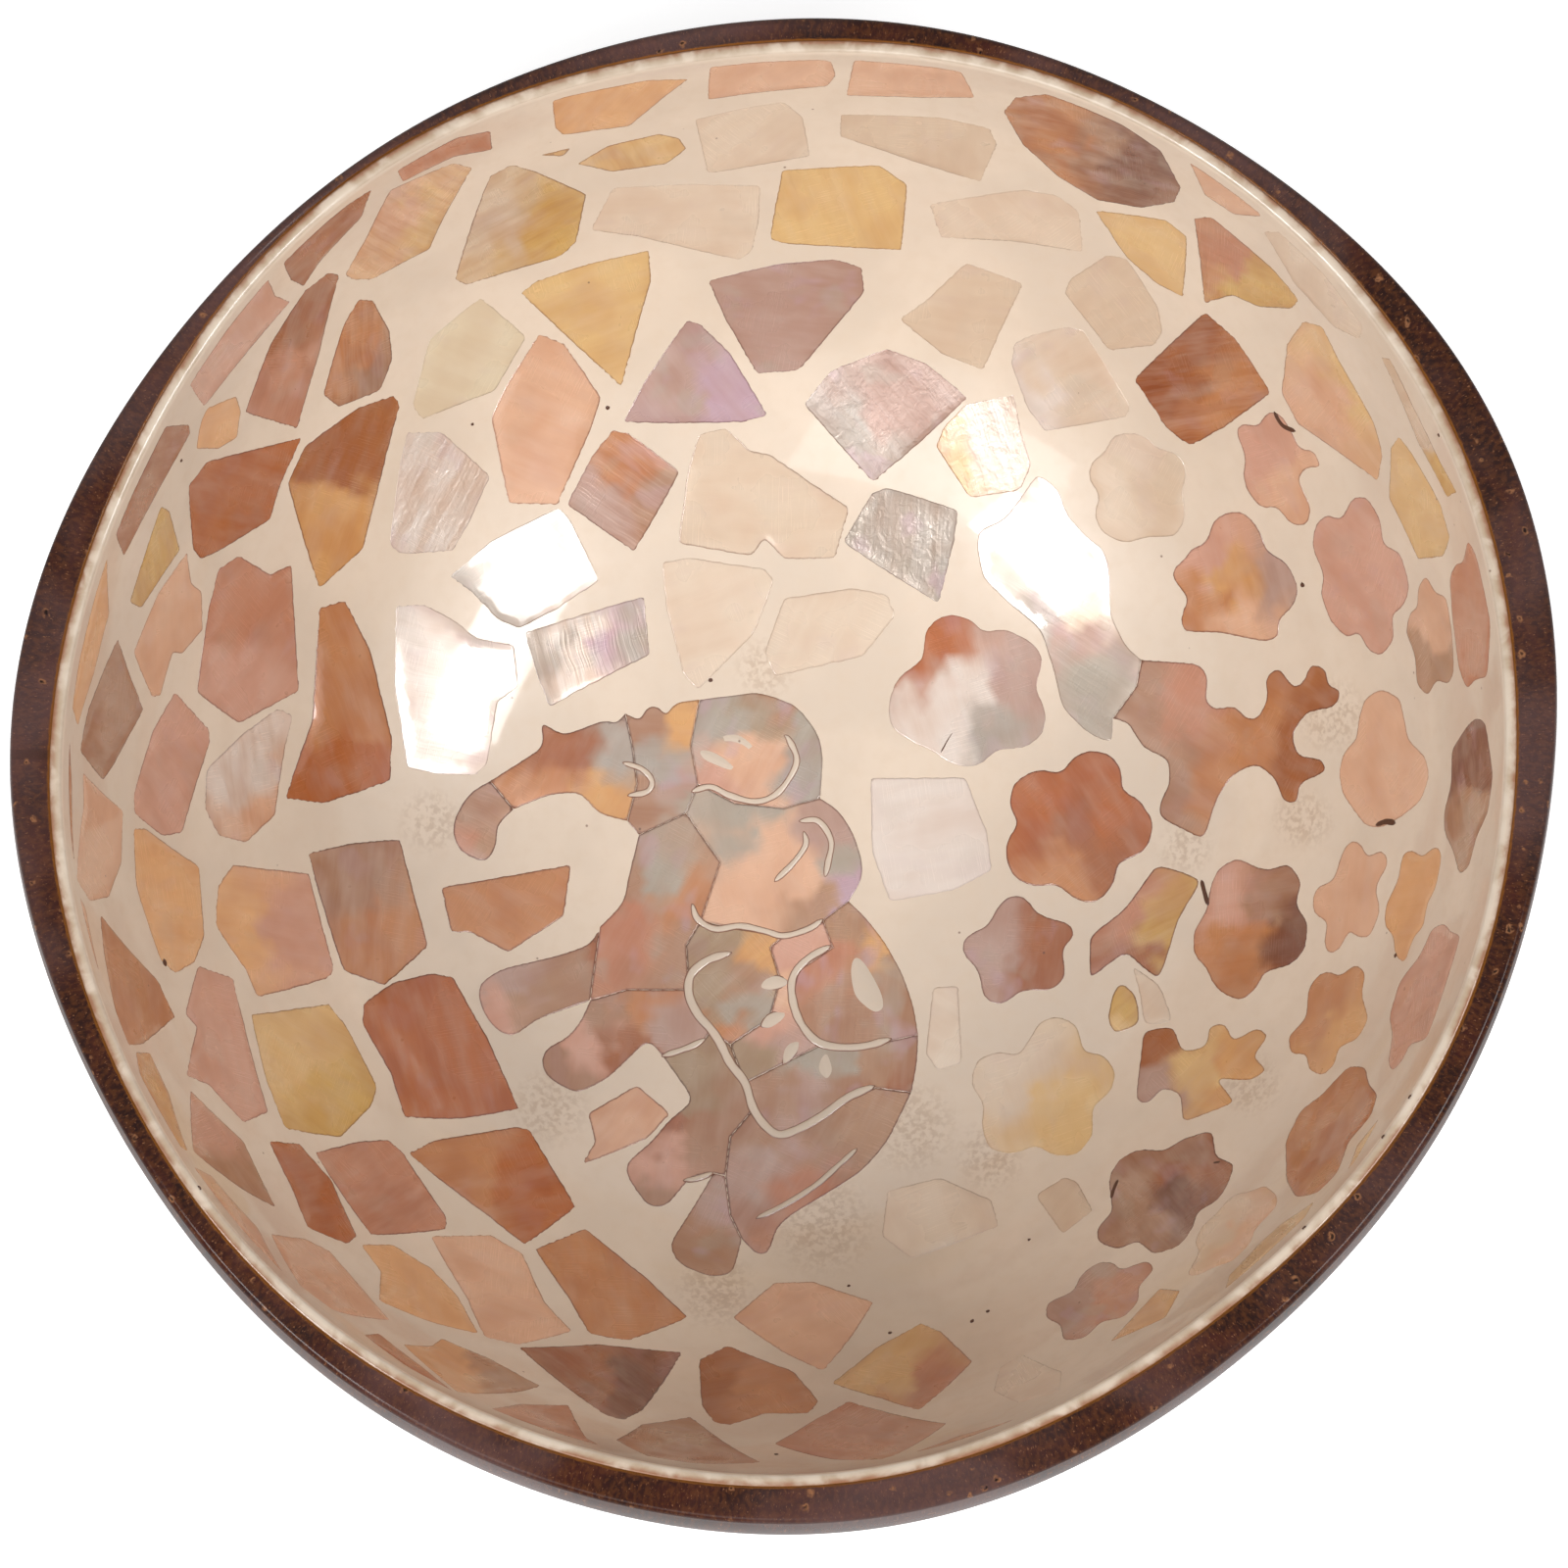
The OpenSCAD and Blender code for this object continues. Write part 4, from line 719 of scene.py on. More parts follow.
# Look of each finish: clouds, growth lines, gleam of other colours, dark cut edge, scratches, gloss
FINISH_SHARES = {
    "ivory": (0.3, 0.2, 0.15, 0.3, 0.2, 0.25),
    "pearl": (0.45, 0.3, 0.35, 0.2, 0.35, 0.55),
    "crinkled": (0.6, 1, 0.4, 0.3, 0.5, 0.6),
    "abalone": (0.7, 0.7, 0.7, 0.35, 0.6, 0.6),
    "striped": (0.5, 1, 0.5, 0.4, 0.4, 0.65),
    "peach": (0.4, 0.2, 0.12, 0.6, 0.2, 0.35),
    "gold": (0.45, 0.3, 0.12, 0.7, 0.25, 0.4),
    "rose": (0.45, 0.25, 0.2, 0.8, 0.25, 0.4),
    "rust": (0.6, 0.28, 0.12, 0.9, 0.3, 0.4),
    "umber": (0.7, 0.4, 0.25, 1, 0.35, 0.4),
    "olive": (0.6, 0.6, 0.2, 0.9, 0.3, 0.45),
    "oval": (1, 0.5, 0.4, 0.9, 0.3, 0.35),
    "lilac": (0.5, 0.3, 0.6, 0.7, 0.3, 0.5),
    "banded": (0.8, 1, 0.25, 0.8, 0.3, 0.45),
    "veined": (0.8, 0.8, 0.4, 0.6, 0.4, 0.5),
    "smoke": (0.9, 0.5, 0.4, 0.9, 0.4, 0.4),
    "silver": (0.6, 0.45, 0.7, 0.45, 0.5, 0.6),
}

# Cream lines that are drawn on the elephant: half width in photograph pixels, and the way they run
CREAM_LINES = (
    (4, ((635, 778), (655, 785), (665, 797), (660, 808), (640, 812))),
    (4, ((705, 808), (725, 803), (745, 812), (770, 818), (790, 812), (805, 795), (813, 775), (805, 755),
         (800, 750))),
    (4, ((790, 900), (810, 880), (822, 862), (820, 848))),
    (4, ((815, 838), (835, 838), (848, 858), (845, 880), (842, 895))),
    (4, ((706, 922), (712, 938), (730, 948), (755, 945), (780, 950), (800, 955), (825, 948), (840, 938))),
    (5.5, ((747, 972), (722, 980), (705, 995), (703, 1015), (712, 1035), (725, 1050), (735, 1065),
           (745, 1085), (760, 1105), (768, 1130), (780, 1148), (795, 1158), (815, 1152), (840, 1138),
           (865, 1120), (893, 1108))),
    (4, ((720, 1060), (705, 1068), (685, 1075), (675, 1078))),
    (5, ((848, 965), (825, 978), (810, 995), (808, 1015), (815, 1040), (830, 1060), (850, 1068), (880, 1068),
         (910, 1060))),
    (4, ((875, 1172), (855, 1190), (832, 1210), (800, 1230), (771, 1244))),
    (4, ((697, 1205), (710, 1203), (728, 1197))),
)

# Cream shapes filled from edge to edge: eye, brow, four petals and the leaf on the back
CREAM_LEAVES = (
    ((713, 768), (718, 764), (732, 768), (746, 778), (751, 785), (744, 787), (730, 782), (718, 776)),
    ((730, 755), (740, 749), (754, 749), (767, 758), (774, 770), (778, 782), (773, 778), (767, 770),
     (758, 762), (746, 758), (734, 758)),
    ((775, 1006), (781, 998), (793, 995), (804, 1000), (801, 1007), (787, 1011), (778, 1010)),
    ((776, 1047), (781, 1037), (791, 1032), (803, 1033), (801, 1039), (795, 1045), (785, 1050)),
    ((798, 1084), (799, 1072), (805, 1064), (816, 1062), (815, 1072), (807, 1082), (801, 1086)),
    ((834, 1088), (838, 1078), (844, 1074), (849, 1084), (850, 1094), (844, 1102), (836, 1096)),
    ((867, 994), (869, 980), (875, 976), (883, 982), (893, 998), (901, 1015), (902, 1029), (893, 1034),
     (881, 1027), (871, 1015)),
)

# Cracks filled with dark lacquer: node they lie on, half width in photograph pixels, and the way they run
DARK_LINES = (
    ("flower_pearl", 1, ((1000, 717), (988, 735), (972, 748), (960, 768))),
    ("flower_dark", 2.5, ((1141, 1204), (1137, 1213), (1134, 1223))),
    ("flower_dark", 3.5, ((1221, 1186), (1233, 1188), (1246, 1186))),
    ("flowers_pink", 3, ((1300, 420), (1309, 434), (1322, 440))),
    ("flower_smoke", 4, ((1404, 842), (1414, 838), (1424, 840))),
    ("flower_rose_brown", 2.5, ((1226, 898), (1229, 910), (1233, 924))),
)

# Specks of dirt and open pores in the cream: place and radius in photograph pixels
SPECKS = (
    (992, 1348, 3), (1008, 1338, 2.5), (908, 1360, 2.5), (866, 1312, 2), (932, 1378, 2), (620, 416, 2.5),
    (482, 433, 2), (725, 694, 2.5), (1050, 1265, 2), (185, 470, 2.5), (792, 1484, 3), (1329, 597, 3),
    (1424, 975, 3), (1468, 444, 3), (168, 982, 5), (1458, 1130, 3.5), (1427, 1170, 3.5), (1355, 1275, 3.5),
    (190, 1222, 3.5),
)

# Clouds of tan or grey haze under the lacquer: place and radius in photograph pixels
HAZE = (
    (440, 838, 28), (780, 682, 26), (840, 1250, 45), (730, 1315, 34), (1360, 730, 32), (1330, 835, 26),
    (1275, 1105, 28), (1210, 865, 24), (930, 1150, 40), (560, 1130, 34), (1010, 1180, 30),
)


# Shader nodes

def put(tree, kind, values=(), **settings):
    """A node with its settings, and with a value or a link for each named or numbered socket."""
    item = tree.nodes.new("ShaderNode" + kind)
    for key, value in settings.items():
        setattr(item, key, value)
    for key, value in dict(values).items():
        if isinstance(value, bpy.types.NodeSocket):
            tree.links.new(value, item.inputs[key])
        else:
            item.inputs[key].default_value = value
    return item


def sums(tree, operation, *terms):
    """A sum on numbers, as the Math node names it."""
    return put(tree, "Math", enumerate(terms), operation=operation).outputs[0]


def mixed(tree, share, first, second, blend="MIX"):
    """The second colour mixed into the first."""
    item = put(tree, "Mix", {0: share, 6: first, 7: second}, data_type="RGBA", blend_type=blend)
    return item.outputs[2]


def between(tree, value, low, high, first=0.0, last=1.0):
    """A value eased from one level to another."""
    values = {0: value, 1: low, 2: high, 3: first, 4: last}
    return put(tree, "MapRange", values, interpolation_type="SMOOTHSTEP").outputs[0]


def clouds(tree, place, scale, detail=3.0, distortion=0.0):
    """Soft noise: its scale in waves to a millimetre, its detail and its distortion."""
    values = {"Vector": place, "Scale": scale, "Detail": detail, "Distortion": distortion}
    return put(tree, "TexNoise", values).outputs["Fac"]


def stretched(tree, place, x, y, z):
    """Places stretched, so that what is drawn on them is drawn out."""
    return put(tree, "Mapping", {"Vector": place, "Scale": (x, y, z)}).outputs[0]


def shaken(tree, place, scale):
    """Places moved about by slow noise, so that what is drawn on them bends."""
    noise_colour = put(tree, "TexNoise", {"Vector": place, "Scale": scale}).outputs[1]
    return put(tree, "VectorMath", {0: place, 1: noise_colour}, operation="ADD").outputs[0]


def product(tree, *terms):
    """All the terms multiplied."""
    result = terms[0]
    for term in terms[1:]:
        result = sums(tree, "MULTIPLY", result, term)
    return result


def over(tree, colour, tint, *terms):
    """A colour with a tint laid over it, as much as the product of the terms."""
    return mixed(tree, product(tree, *terms), colour, tint)


def rgba(word, level=1.0):
    """A named colour at a level of its brightness, for a colour socket."""
    return (*[c * level for c in linear(word)], 1)


def effect(name, inputs, outputs):
    """A node group with its sockets: the tree, what comes in and what goes out."""
    tree = bpy.data.node_groups.new(name, "ShaderNodeTree")
    for label, kind in inputs:
        tree.interface.new_socket(label, in_out="INPUT", socket_type="NodeSocket" + kind)
    for label, kind in outputs:
        tree.interface.new_socket(label, in_out="OUTPUT", socket_type="NodeSocket" + kind)
    return tree, tree.nodes.new("NodeGroupInput").outputs, tree.nodes.new("NodeGroupOutput").inputs


def nacre_effect():
    """Clouds, growth lines, gleams of other colours and the dark cut edge of a piece of nacre."""
    known = bpy.data.node_groups.get("Nacre")
    if known:
        return known
    shares = [(label, "Float") for label in ("Clouds", "Lines", "Gleam", "Cut edge", "Scratches")]
    tree, given, out = effect("Nacre", [("Tint", "Color"), ("Lay", "Vector"), ("Rim", "Float"), *shares],
                              [("Color", "Color"), ("Height", "Float"), ("Rough", "Float")])
    lay = given["Lay"]
    cloud = between(tree, clouds(tree, lay, 0.17, 2.5, 0.1), 0.38, 0.68)
    fine = between(tree, clouds(tree, stretched(tree, lay, 0.3, 0.8, 1), 0.6, 2.5, 0.1), 0.4, 0.75)
    bent = shaken(tree, lay, 0.22)
    band = between(tree, clouds(tree, stretched(tree, bent, 0.08, 0.75, 1), 1.0, 2.5, 0.2), 0.38, 0.64)
    thin = between(tree, clouds(tree, stretched(tree, bent, 0.1, 2.6, 1), 1.3, 1.0), 0.4, 0.62)
    deep = mixed(tree, 1.0, given["Tint"], (0.76, 0.6, 0.5, 1), "MULTIPLY")
    pale = mixed(tree, 0.34, given["Tint"], rgba("pearl"))
    colour = over(tree, given["Tint"], deep, cloud, given["Clouds"])
    colour = over(tree, colour, pale, fine, given["Clouds"], 0.55)
    brown = mixed(tree, 1.0, colour, (0.72, 0.55, 0.42, 1), "MULTIPLY")
    colour = over(tree, colour, brown, band, given["Lines"], 0.5)
    colour = over(tree, colour, pale, thin, given["Lines"], 0.14)
    first = between(tree, clouds(tree, lay, 0.21, 2.0, 0.2), 0.54, 0.68)
    second = between(tree, clouds(tree, stretched(tree, lay, -0.8, 1.1, 1), 0.25, 2.0, 0.2), 0.54, 0.7)
    half = product(tree, given["Gleam"], 0.55)
    colour = over(tree, colour, rgba("aqua"), first, half)
    colour = over(tree, colour, rgba("violet"), second, half)
    ragged = sums(tree, "MULTIPLY_ADD", clouds(tree, lay, 3.0, 2.0), -0.16, given["Rim"])
    cut = between(tree, ragged, -0.02, 0.16, 1.0, 0.0)
    dark = mixed(tree, 1.0, colour, (0.3, 0.19, 0.19, 1), "MULTIPLY")
    colour = over(tree, colour, dark, cut, given["Cut edge"], 0.85)
    scratch = clouds(tree, stretched(tree, lay, 14, 0.25, 1), 1.0, 1.0)
    scratch = product(tree, between(tree, scratch, 0.6, 0.68), given["Scratches"])
    height = sums(tree, "MULTIPLY_ADD", thin, given["Lines"], product(tree, scratch, -0.6))
    tree.links.new(colour, out["Color"])
    tree.links.new(height, out["Height"])
    tree.links.new(sums(tree, "MULTIPLY_ADD", scratch, 0.15, between(tree, cloud, 0.0, 1.0, 0.26, 0.4)),
                   out["Rough"])
    return tree


def dust_effect():
    """Fine dark specks and a slow unevenness, as poured lacquer has."""
    known = bpy.data.node_groups.get("Lacquer")
    if known:
        return known
    tree, given, out = effect("Lacquer", [("Place", "Vector"), ("Amount", "Float")],
                              [("Speck", "Float"), ("Height", "Float")])
    cells = put(tree, "TexVoronoi", {"Vector": given["Place"], "Scale": 0.42}, voronoi_dimensions="3D")
    chosen = put(tree, "SeparateColor", {0: cells.outputs["Color"]}).outputs[0]
    few = sums(tree, "GREATER_THAN", chosen, sums(tree, "SUBTRACT", 1.0, given["Amount"]))
    dot = between(tree, cells.outputs["Distance"], 0.03, 0.075, 1.0, 0.0)
    tree.links.new(product(tree, dot, few), out["Speck"])
    tree.links.new(clouds(tree, given["Place"], 0.45, 2.0), out["Height"])
    return tree


def finish(name):
    """A new material: its tree and its shader."""
    material = bpy.data.materials.new(name)
    material.use_nodes = True
    tree = material.node_tree
    return material, tree, tree.nodes["Principled BSDF"]


def grouped(tree, group, values):
    return put(tree, "Group", values, node_tree=group).outputs


def marked(tree, name, socket):
    return put(tree, "Attribute", {}, attribute_name=name).outputs[socket]


def bumped(tree, shader, height, distance, strength=1.0):
    bump = put(tree, "Bump", {"Height": height, "Distance": distance, "Strength": strength})
    tree.links.new(bump.outputs[0], shader.inputs["Normal"])


def in_mm(tree, vector):
    return put(tree, "VectorMath", {0: vector, "Scale": 1 / MM}, operation="SCALE").outputs[0]


def nacre_finish(kind):
    """Nacre of one finish under clear lacquer."""
    name = kind.capitalize() + " nacre"
    known = bpy.data.materials.get(name)
    if known:
        return known
    cloud, lines, gleam, cut, scratches, gloss = FINISH_SHARES[kind]
    material, tree, shader = finish(name)
    lay = in_mm(tree, marked(tree, "lay", "Vector"))
    rim = product(tree, marked(tree, "rim", "Fac"), 1 / MM)
    look = grouped(tree, nacre_effect(), {
        "Tint": marked(tree, "tint", "Color"), "Lay": lay, "Rim": rim, "Clouds": cloud, "Lines": lines,
        "Gleam": gleam, "Cut edge": cut, "Scratches": scratches})
    lacquer = grouped(tree, dust_effect(), {"Place": lay, "Amount": 0.05})
    colour = over(tree, look["Color"], rgba("dark", 0.4), lacquer["Speck"], 0.7)
    tree.links.new(colour, shader.inputs["Base Color"])
    tree.links.new(look["Rough"], shader.inputs["Roughness"])
    shader.inputs["Metallic"].default_value = 0.3 * gloss
    shader.inputs["Coat Weight"].default_value = 0.8
    shader.inputs["Coat Roughness"].default_value = 0.06
    height = look["Height"]
    if kind in ("crinkled", "abalone"):
        folds = clouds(tree, lay, 0.9, 4.0, 0.8)
        height = sums(tree, "MULTIPLY_ADD", folds, 12.0, height)
    bumped(tree, shader, height, 0.00002, 0.5)
    return material


def cream_finish(name="Cream ground", line=False):
    """Cast cream resin with dust, haze and a stained outer line."""
    known = bpy.data.materials.get(name)
    if known:
        return known
    material, tree, shader = finish(name)
    place = in_mm(tree, put(tree, "TexCoord").outputs["Object"])
    slow = between(tree, clouds(tree, place, 0.06, 3.0, 0.4), 0.35, 0.68)
    level = 0.86 if line else 1.0
    colour = mixed(tree, slow, rgba("cream", level), rgba("cream", 0.9 * level))
    mottle = between(tree, clouds(tree, place, 0.7, 4.0), 0.4, 0.75)
    colour = over(tree, colour, rgba("beige"), mottle, 0.22)
    lacquer = grouped(tree, dust_effect(), {"Place": place, "Amount": 0.16})
    rim = product(tree, marked(tree, "rim", "Fac"), 1 / MM)
    if line:
        edge = between(tree, rim, 0.03, 0.17, 0.9, 0.0)
        colour = mixed(tree, edge, colour, rgba("dark"))
    else:
        haze = product(tree, marked(tree, "haze", "Fac"),
                       between(tree, clouds(tree, place, 1.8, 6.0, 0.3), 0.4, 0.62))
        colour = over(tree, colour, rgba("dust"), haze, 0.45)
        ragged = sums(tree, "MULTIPLY_ADD", clouds(tree, place, 1.6, 3.0), -0.3, rim)
        patch = between(tree, clouds(tree, place, 0.3, 5.0, 0.5), 0.38, 0.6, 0.3, 1.0)
        stain = between(tree, ragged, 0.35, 1.3, 0.85, 0.0)
        colour = over(tree, colour, rgba("moss", 1.05), stain, patch)
        crust = between(tree, ragged, 0.0, 0.45, 0.85, 0.0)
        colour = over(tree, colour, rgba("umber", 0.75), crust, patch)
        colour = mixed(tree, between(tree, ragged, -0.15, 0.12, 0.8, 0.0), colour, rgba("resin"))
    colour = over(tree, colour, rgba("umber", 0.4), lacquer["Speck"], 0.75)
    tree.links.new(colour, shader.inputs["Base Color"])
    tree.links.new(between(tree, mottle, 0.0, 1.0, 0.32, 0.44), shader.inputs["Roughness"])
    shader.inputs["Coat Weight"].default_value = 0.8
    shader.inputs["Coat Roughness"].default_value = 0.06
    bumped(tree, shader, lacquer["Height"], 0.00006, 0.35)
    return material


def shell_finish():
    """Sanded and polished coconut shell: dark, with pale fibres, pores, painted sheen and a resin line at the
    joint.
    """
    material, tree, shader = finish("Coconut shell")
    lay = in_mm(tree, marked(tree, "lay", "Vector"))
    broad = between(tree, clouds(tree, stretched(tree, lay, 1, 0.35, 1), 0.12, 4.0, 0.8), 0.35, 0.7)
    grain = between(tree, clouds(tree, stretched(tree, lay, 2.6, 0.22, 1), 0.9, 5.0, 0.4), 0.38, 0.66)
    hair = between(tree, clouds(tree, stretched(tree, lay, 6, 0.35, 1), 1.1, 2.0, 0.2), 0.63, 0.72)
    colour = mixed(tree, broad, rgba("shell", 0.6), rgba("shell", 1.7))
    colour = over(tree, colour, rgba("umber", 0.3), grain, 0.55)
    colour = over(tree, colour, rgba("husk", 0.8), hair, 0.65)
    place = in_mm(tree, put(tree, "TexCoord").outputs["Object"])
    warped = shaken(tree, place, 1.2)
    # Painted sheen: slow patches of purple-grey stand in for the lacquer's reflection of the light
    bloom = between(tree, clouds(tree, place, 0.045, 4.0, 0.3), 0.4, 0.62)
    colour = over(tree, colour, rgba("bloom", 0.92), bloom, 0.48)
    cells = put(tree, "TexVoronoi", {"Vector": warped, "Scale": 0.55})
    picked = put(tree, "SeparateColor", {0: cells.outputs["Color"]}).outputs[1]
    many = sums(tree, "GREATER_THAN", picked, 0.35)
    pore = product(tree, between(tree, cells.outputs["Distance"], 0.05, 0.13, 1.0, 0.0), many)
    ring = product(tree, between(tree, cells.outputs["Distance"], 0.13, 0.24, 1.0, 0.0), many)
    ring = product(tree, ring, between(tree, clouds(tree, place, 1.5, 2.0), 0.35, 0.6))
    colour = over(tree, colour, rgba("husk", 0.8), ring, 0.85)
    colour = over(tree, colour, rgba("shell", 0.12), pore, 0.9)
    rim = product(tree, marked(tree, "rim", "Fac"), 1 / MM)
    ragged = sums(tree, "MULTIPLY_ADD", clouds(tree, lay, 1.2, 3.0), -0.35, rim)
    colour = mixed(tree, between(tree, ragged, -0.12, 0.1, 0.85, 0.0), colour, rgba("resin"))
    chatter = clouds(tree, stretched(tree, lay, 1.2, 3.5, 1), 0.9, 4.0, 0.5)
    height = sums(tree, "MULTIPLY_ADD", pore, -1.2, sums(tree, "MULTIPLY_ADD", chatter, 0.35, grain))
    tree.links.new(colour, shader.inputs["Base Color"])
    tree.links.new(between(tree, grain, 0.0, 1.0, 0.34, 0.52), shader.inputs["Roughness"])
    shader.inputs["Specular IOR Level"].default_value = 0.0
    shader.inputs["Coat Weight"].default_value = 0.28
    shader.inputs["Coat Roughness"].default_value = 0.15
    bumped(tree, shader, height, 0.00008, 0.5)
    return material


def dark_finish():
    """Dirt and dark lacquer in pores and cracks."""
    known = bpy.data.materials.get("Dark lacquer")
    if known:
        return known
    material, tree, shader = finish("Dark lacquer")
    place = in_mm(tree, put(tree, "TexCoord").outputs["Object"])
    patch = clouds(tree, place, 2.5, 3.0)
    tree.links.new(mixed(tree, patch, rgba("dark", 0.25), rgba("umber", 0.3)), shader.inputs["Base Color"])
    shader.inputs["Roughness"].default_value = 0.45
    bumped(tree, shader, patch, 0.00005, 0.4)
    return material


# Pieces

def ring_at(a, r, z):
    """A level ring of points, from a radius in each direction and a height."""
    return np.stack([r * np.cos(a), r * np.sin(a), np.full_like(a, z)], -1)


def shell_piece():
    """The shell, from the foot up its outside, over the rim and down the joint."""
    s = sizes()
    a = np.linspace(0, 2 * math.pi, s.round_steps, endpoint=False)
    shares, heights, drop_share = outer_profile()
    belly = rim_radius(a) / drop_share
    rings = [ring_at(a, belly * share, height) for share, height in zip(shares, heights)]
    corner = belly * shares[-1]
    for turn in np.linspace(0, math.pi / 2, CORNER_RINGS + 1)[1:]:
        z = s.height - s.edge_round * (1 - math.sin(turn))
        rings.append(ring_at(a, corner - s.edge_round * (1 - math.cos(turn)), z))
    joint = rim_radius(a) - edge_width(a)
    last = corner - s.edge_round
    for t in np.linspace(0, 1, CORNER_RINGS + 1)[1:]:
        sag = FACE_SAG * math.sin(math.pi * t)
        rings.append(ring_at(a, last + (joint - last) * t, s.height - sag))
    inner = joint_rings(a, SHELL_SIDE_SHARE)[::-1]
    rings += list(inner[2:])
    verts, faces = lathe(rings, np.zeros(3), np.array((0, 0, inner[-1][:, 2].mean())))
    piece = made("coconut_shell_finish", verts, faces, "coconut_shell", "coconut_shell")
    turn = np.arctan2(verts[:, 1], verts[:, 0])
    around = turn * s.rim / 2
    far = np.hypot(verts[:, 0], verts[:, 1])
    on_rim = verts[:, 2] > s.height - SHELL_EDGE_BAND
    rise = np.where(on_rim, far * FACE_GRAIN, verts[:, 2] - far * 0.6)
    marks(piece, "lay", "FLOAT_VECTOR", np.stack([around, rise, 0 * around], -1))
    rim = np.where(on_rim, np.abs(far - rim_radius(turn) + edge_width(turn)), FAR_FROM_RIM)
    marks(piece, "rim", "FLOAT", rim)
    piece.data.materials.append(shell_finish())
    return piece


def joint_rings(a, share):
    """Rings of the surface where the shell and the cream meet, from the floor up."""
    s = sizes()
    outer_shares, outer_heights, drop_share = outer_profile()
    rings = []
    for k in range(1, JOINT_RINGS + 1):
        t = k / JOINT_RINGS
        along = mouth_share() * math.sin(t * RING_SPREAD) / math.sin(RING_SPREAD)
        inside = wall_at(a, np.full_like(a, along))
        turn = t * (len(outer_heights) - 1)
        belly = rim_radius(a) / drop_share
        r = belly * np.interp(turn, np.arange(len(outer_shares)), outer_shares)
        z = np.interp(turn, np.arange(len(outer_heights)), outer_heights)
        outside = ring_at(a, r, z)
        part = share + (edge_share(a) - SHELL_SHARE) * smooth_step(t, JOINT_TURN_SHARE, 1)
        rings.append(inside * part[:, None] + outside * (1 - part)[:, None])
    rings[-1] = ring_at(a, rim_radius(a) - edge_width(a), s.height)
    return rings


def edge_share(a):
    """Share of the wall's thickness at the rim that is shell."""
    return edge_width(a) / (edge_width(a) + sizes().cream_edge)


def lining_piece():
    """The cream ground: joint, cream edge at the rim, and the wall down to the floor's middle."""
    s = sizes()
    a = np.linspace(0, 2 * math.pi, s.round_steps, endpoint=False)
    outer = joint_rings(a, CREAM_SIDE_SHARE)
    rings = list(outer[2:-1])
    edge = rim_radius(a) - edge_width(a) - CREAM_INSIDE
    mouth = mouth_radius(a)
    for t in CREAM_RING_SHARES:
        z = s.height - CREAM_BELOW - CREAM_SAG * t * t
        rings.append(ring_at(a, edge + (mouth - edge) * t, z))
    shares, lengths = wall_table()
    for length in lengths[-1] * np.linspace(WALL_TOP_SHARE, WALL_LAST_SHARE, s.up_steps):
        rings.append(wall_at(a, np.full_like(a, np.interp(length, lengths, shares))))
    floor = np.array((0, 0, s.floor))
    verts, faces = lathe(rings, np.array((0, 0, outer[2][:, 2].mean())), floor)
    piece = made("cream_ground_finish", verts, faces, "cream_ground", "cream_ground")
    around = np.arctan2(verts[:, 1], verts[:, 0])
    far = np.hypot(verts[:, 0], verts[:, 1])
    marks(piece, "rim", "FLOAT", np.where(verts[:, 2] > s.height - CREAM_EDGE_BAND,
                                          rim_radius(around) - edge_width(around) - far, FAR_FROM_RIM))
    seen = photo_px(verts)
    haze = np.zeros(len(verts))
    for x, y, radius in HAZE:
        far_off = np.hypot(seen[:, 0] - x, seen[:, 1] - y) / radius
        haze = np.maximum(haze, 1 - smooth_step(far_off, *HAZE_SHARES))
    marks(piece, "haze", "FLOAT", haze)
    piece.data.materials.append(cream_finish())
    return piece


def tones_at(node, seen, outline):
    """Colour of each point of an island, from the tones that the photograph shows there."""
    tones = ISLAND_TONES[node]
    places = np.array([(x, y) for x, y, _ in tones], float)
    words = np.array([linear(word) for _, _, word in tones])
    far, within = side(places, outline)
    own = within | (far < TONE_REACH_PX)
    if not own.any():
        own = far == far.min()
    wander = sum(size * np.array([[noise.noise(Vector((x / size, y / size, k))) for k in (1, 9)]
                                  for x, y in seen]) for size in WANDER_PX)
    gap = np.linalg.norm((seen + wander)[:, None] - places[own][None], axis=-1)
    weight = 1 / (gap ** 2 + TONE_SOFT_PX) ** TONE_SHARPNESS
    colours = (weight[..., None] * words[own][None]).sum(1) / weight.sum(1)[:, None]
    return np.concatenate([colours, np.ones((len(colours), 1))], 1)


def shared_corners(nodes):
    """Corners where pieces of one figure meet: they stay where they are."""
    seen = Counter()
    for node in nodes:
        corners = set()
        for places, tris in packed_islands(node):
            corners |= {tuple(np.round(p, 6)) for p in top_outline(places, tris)}
        seen.update(corners)
    return {corner for corner, count in seen.items() if count > 1}


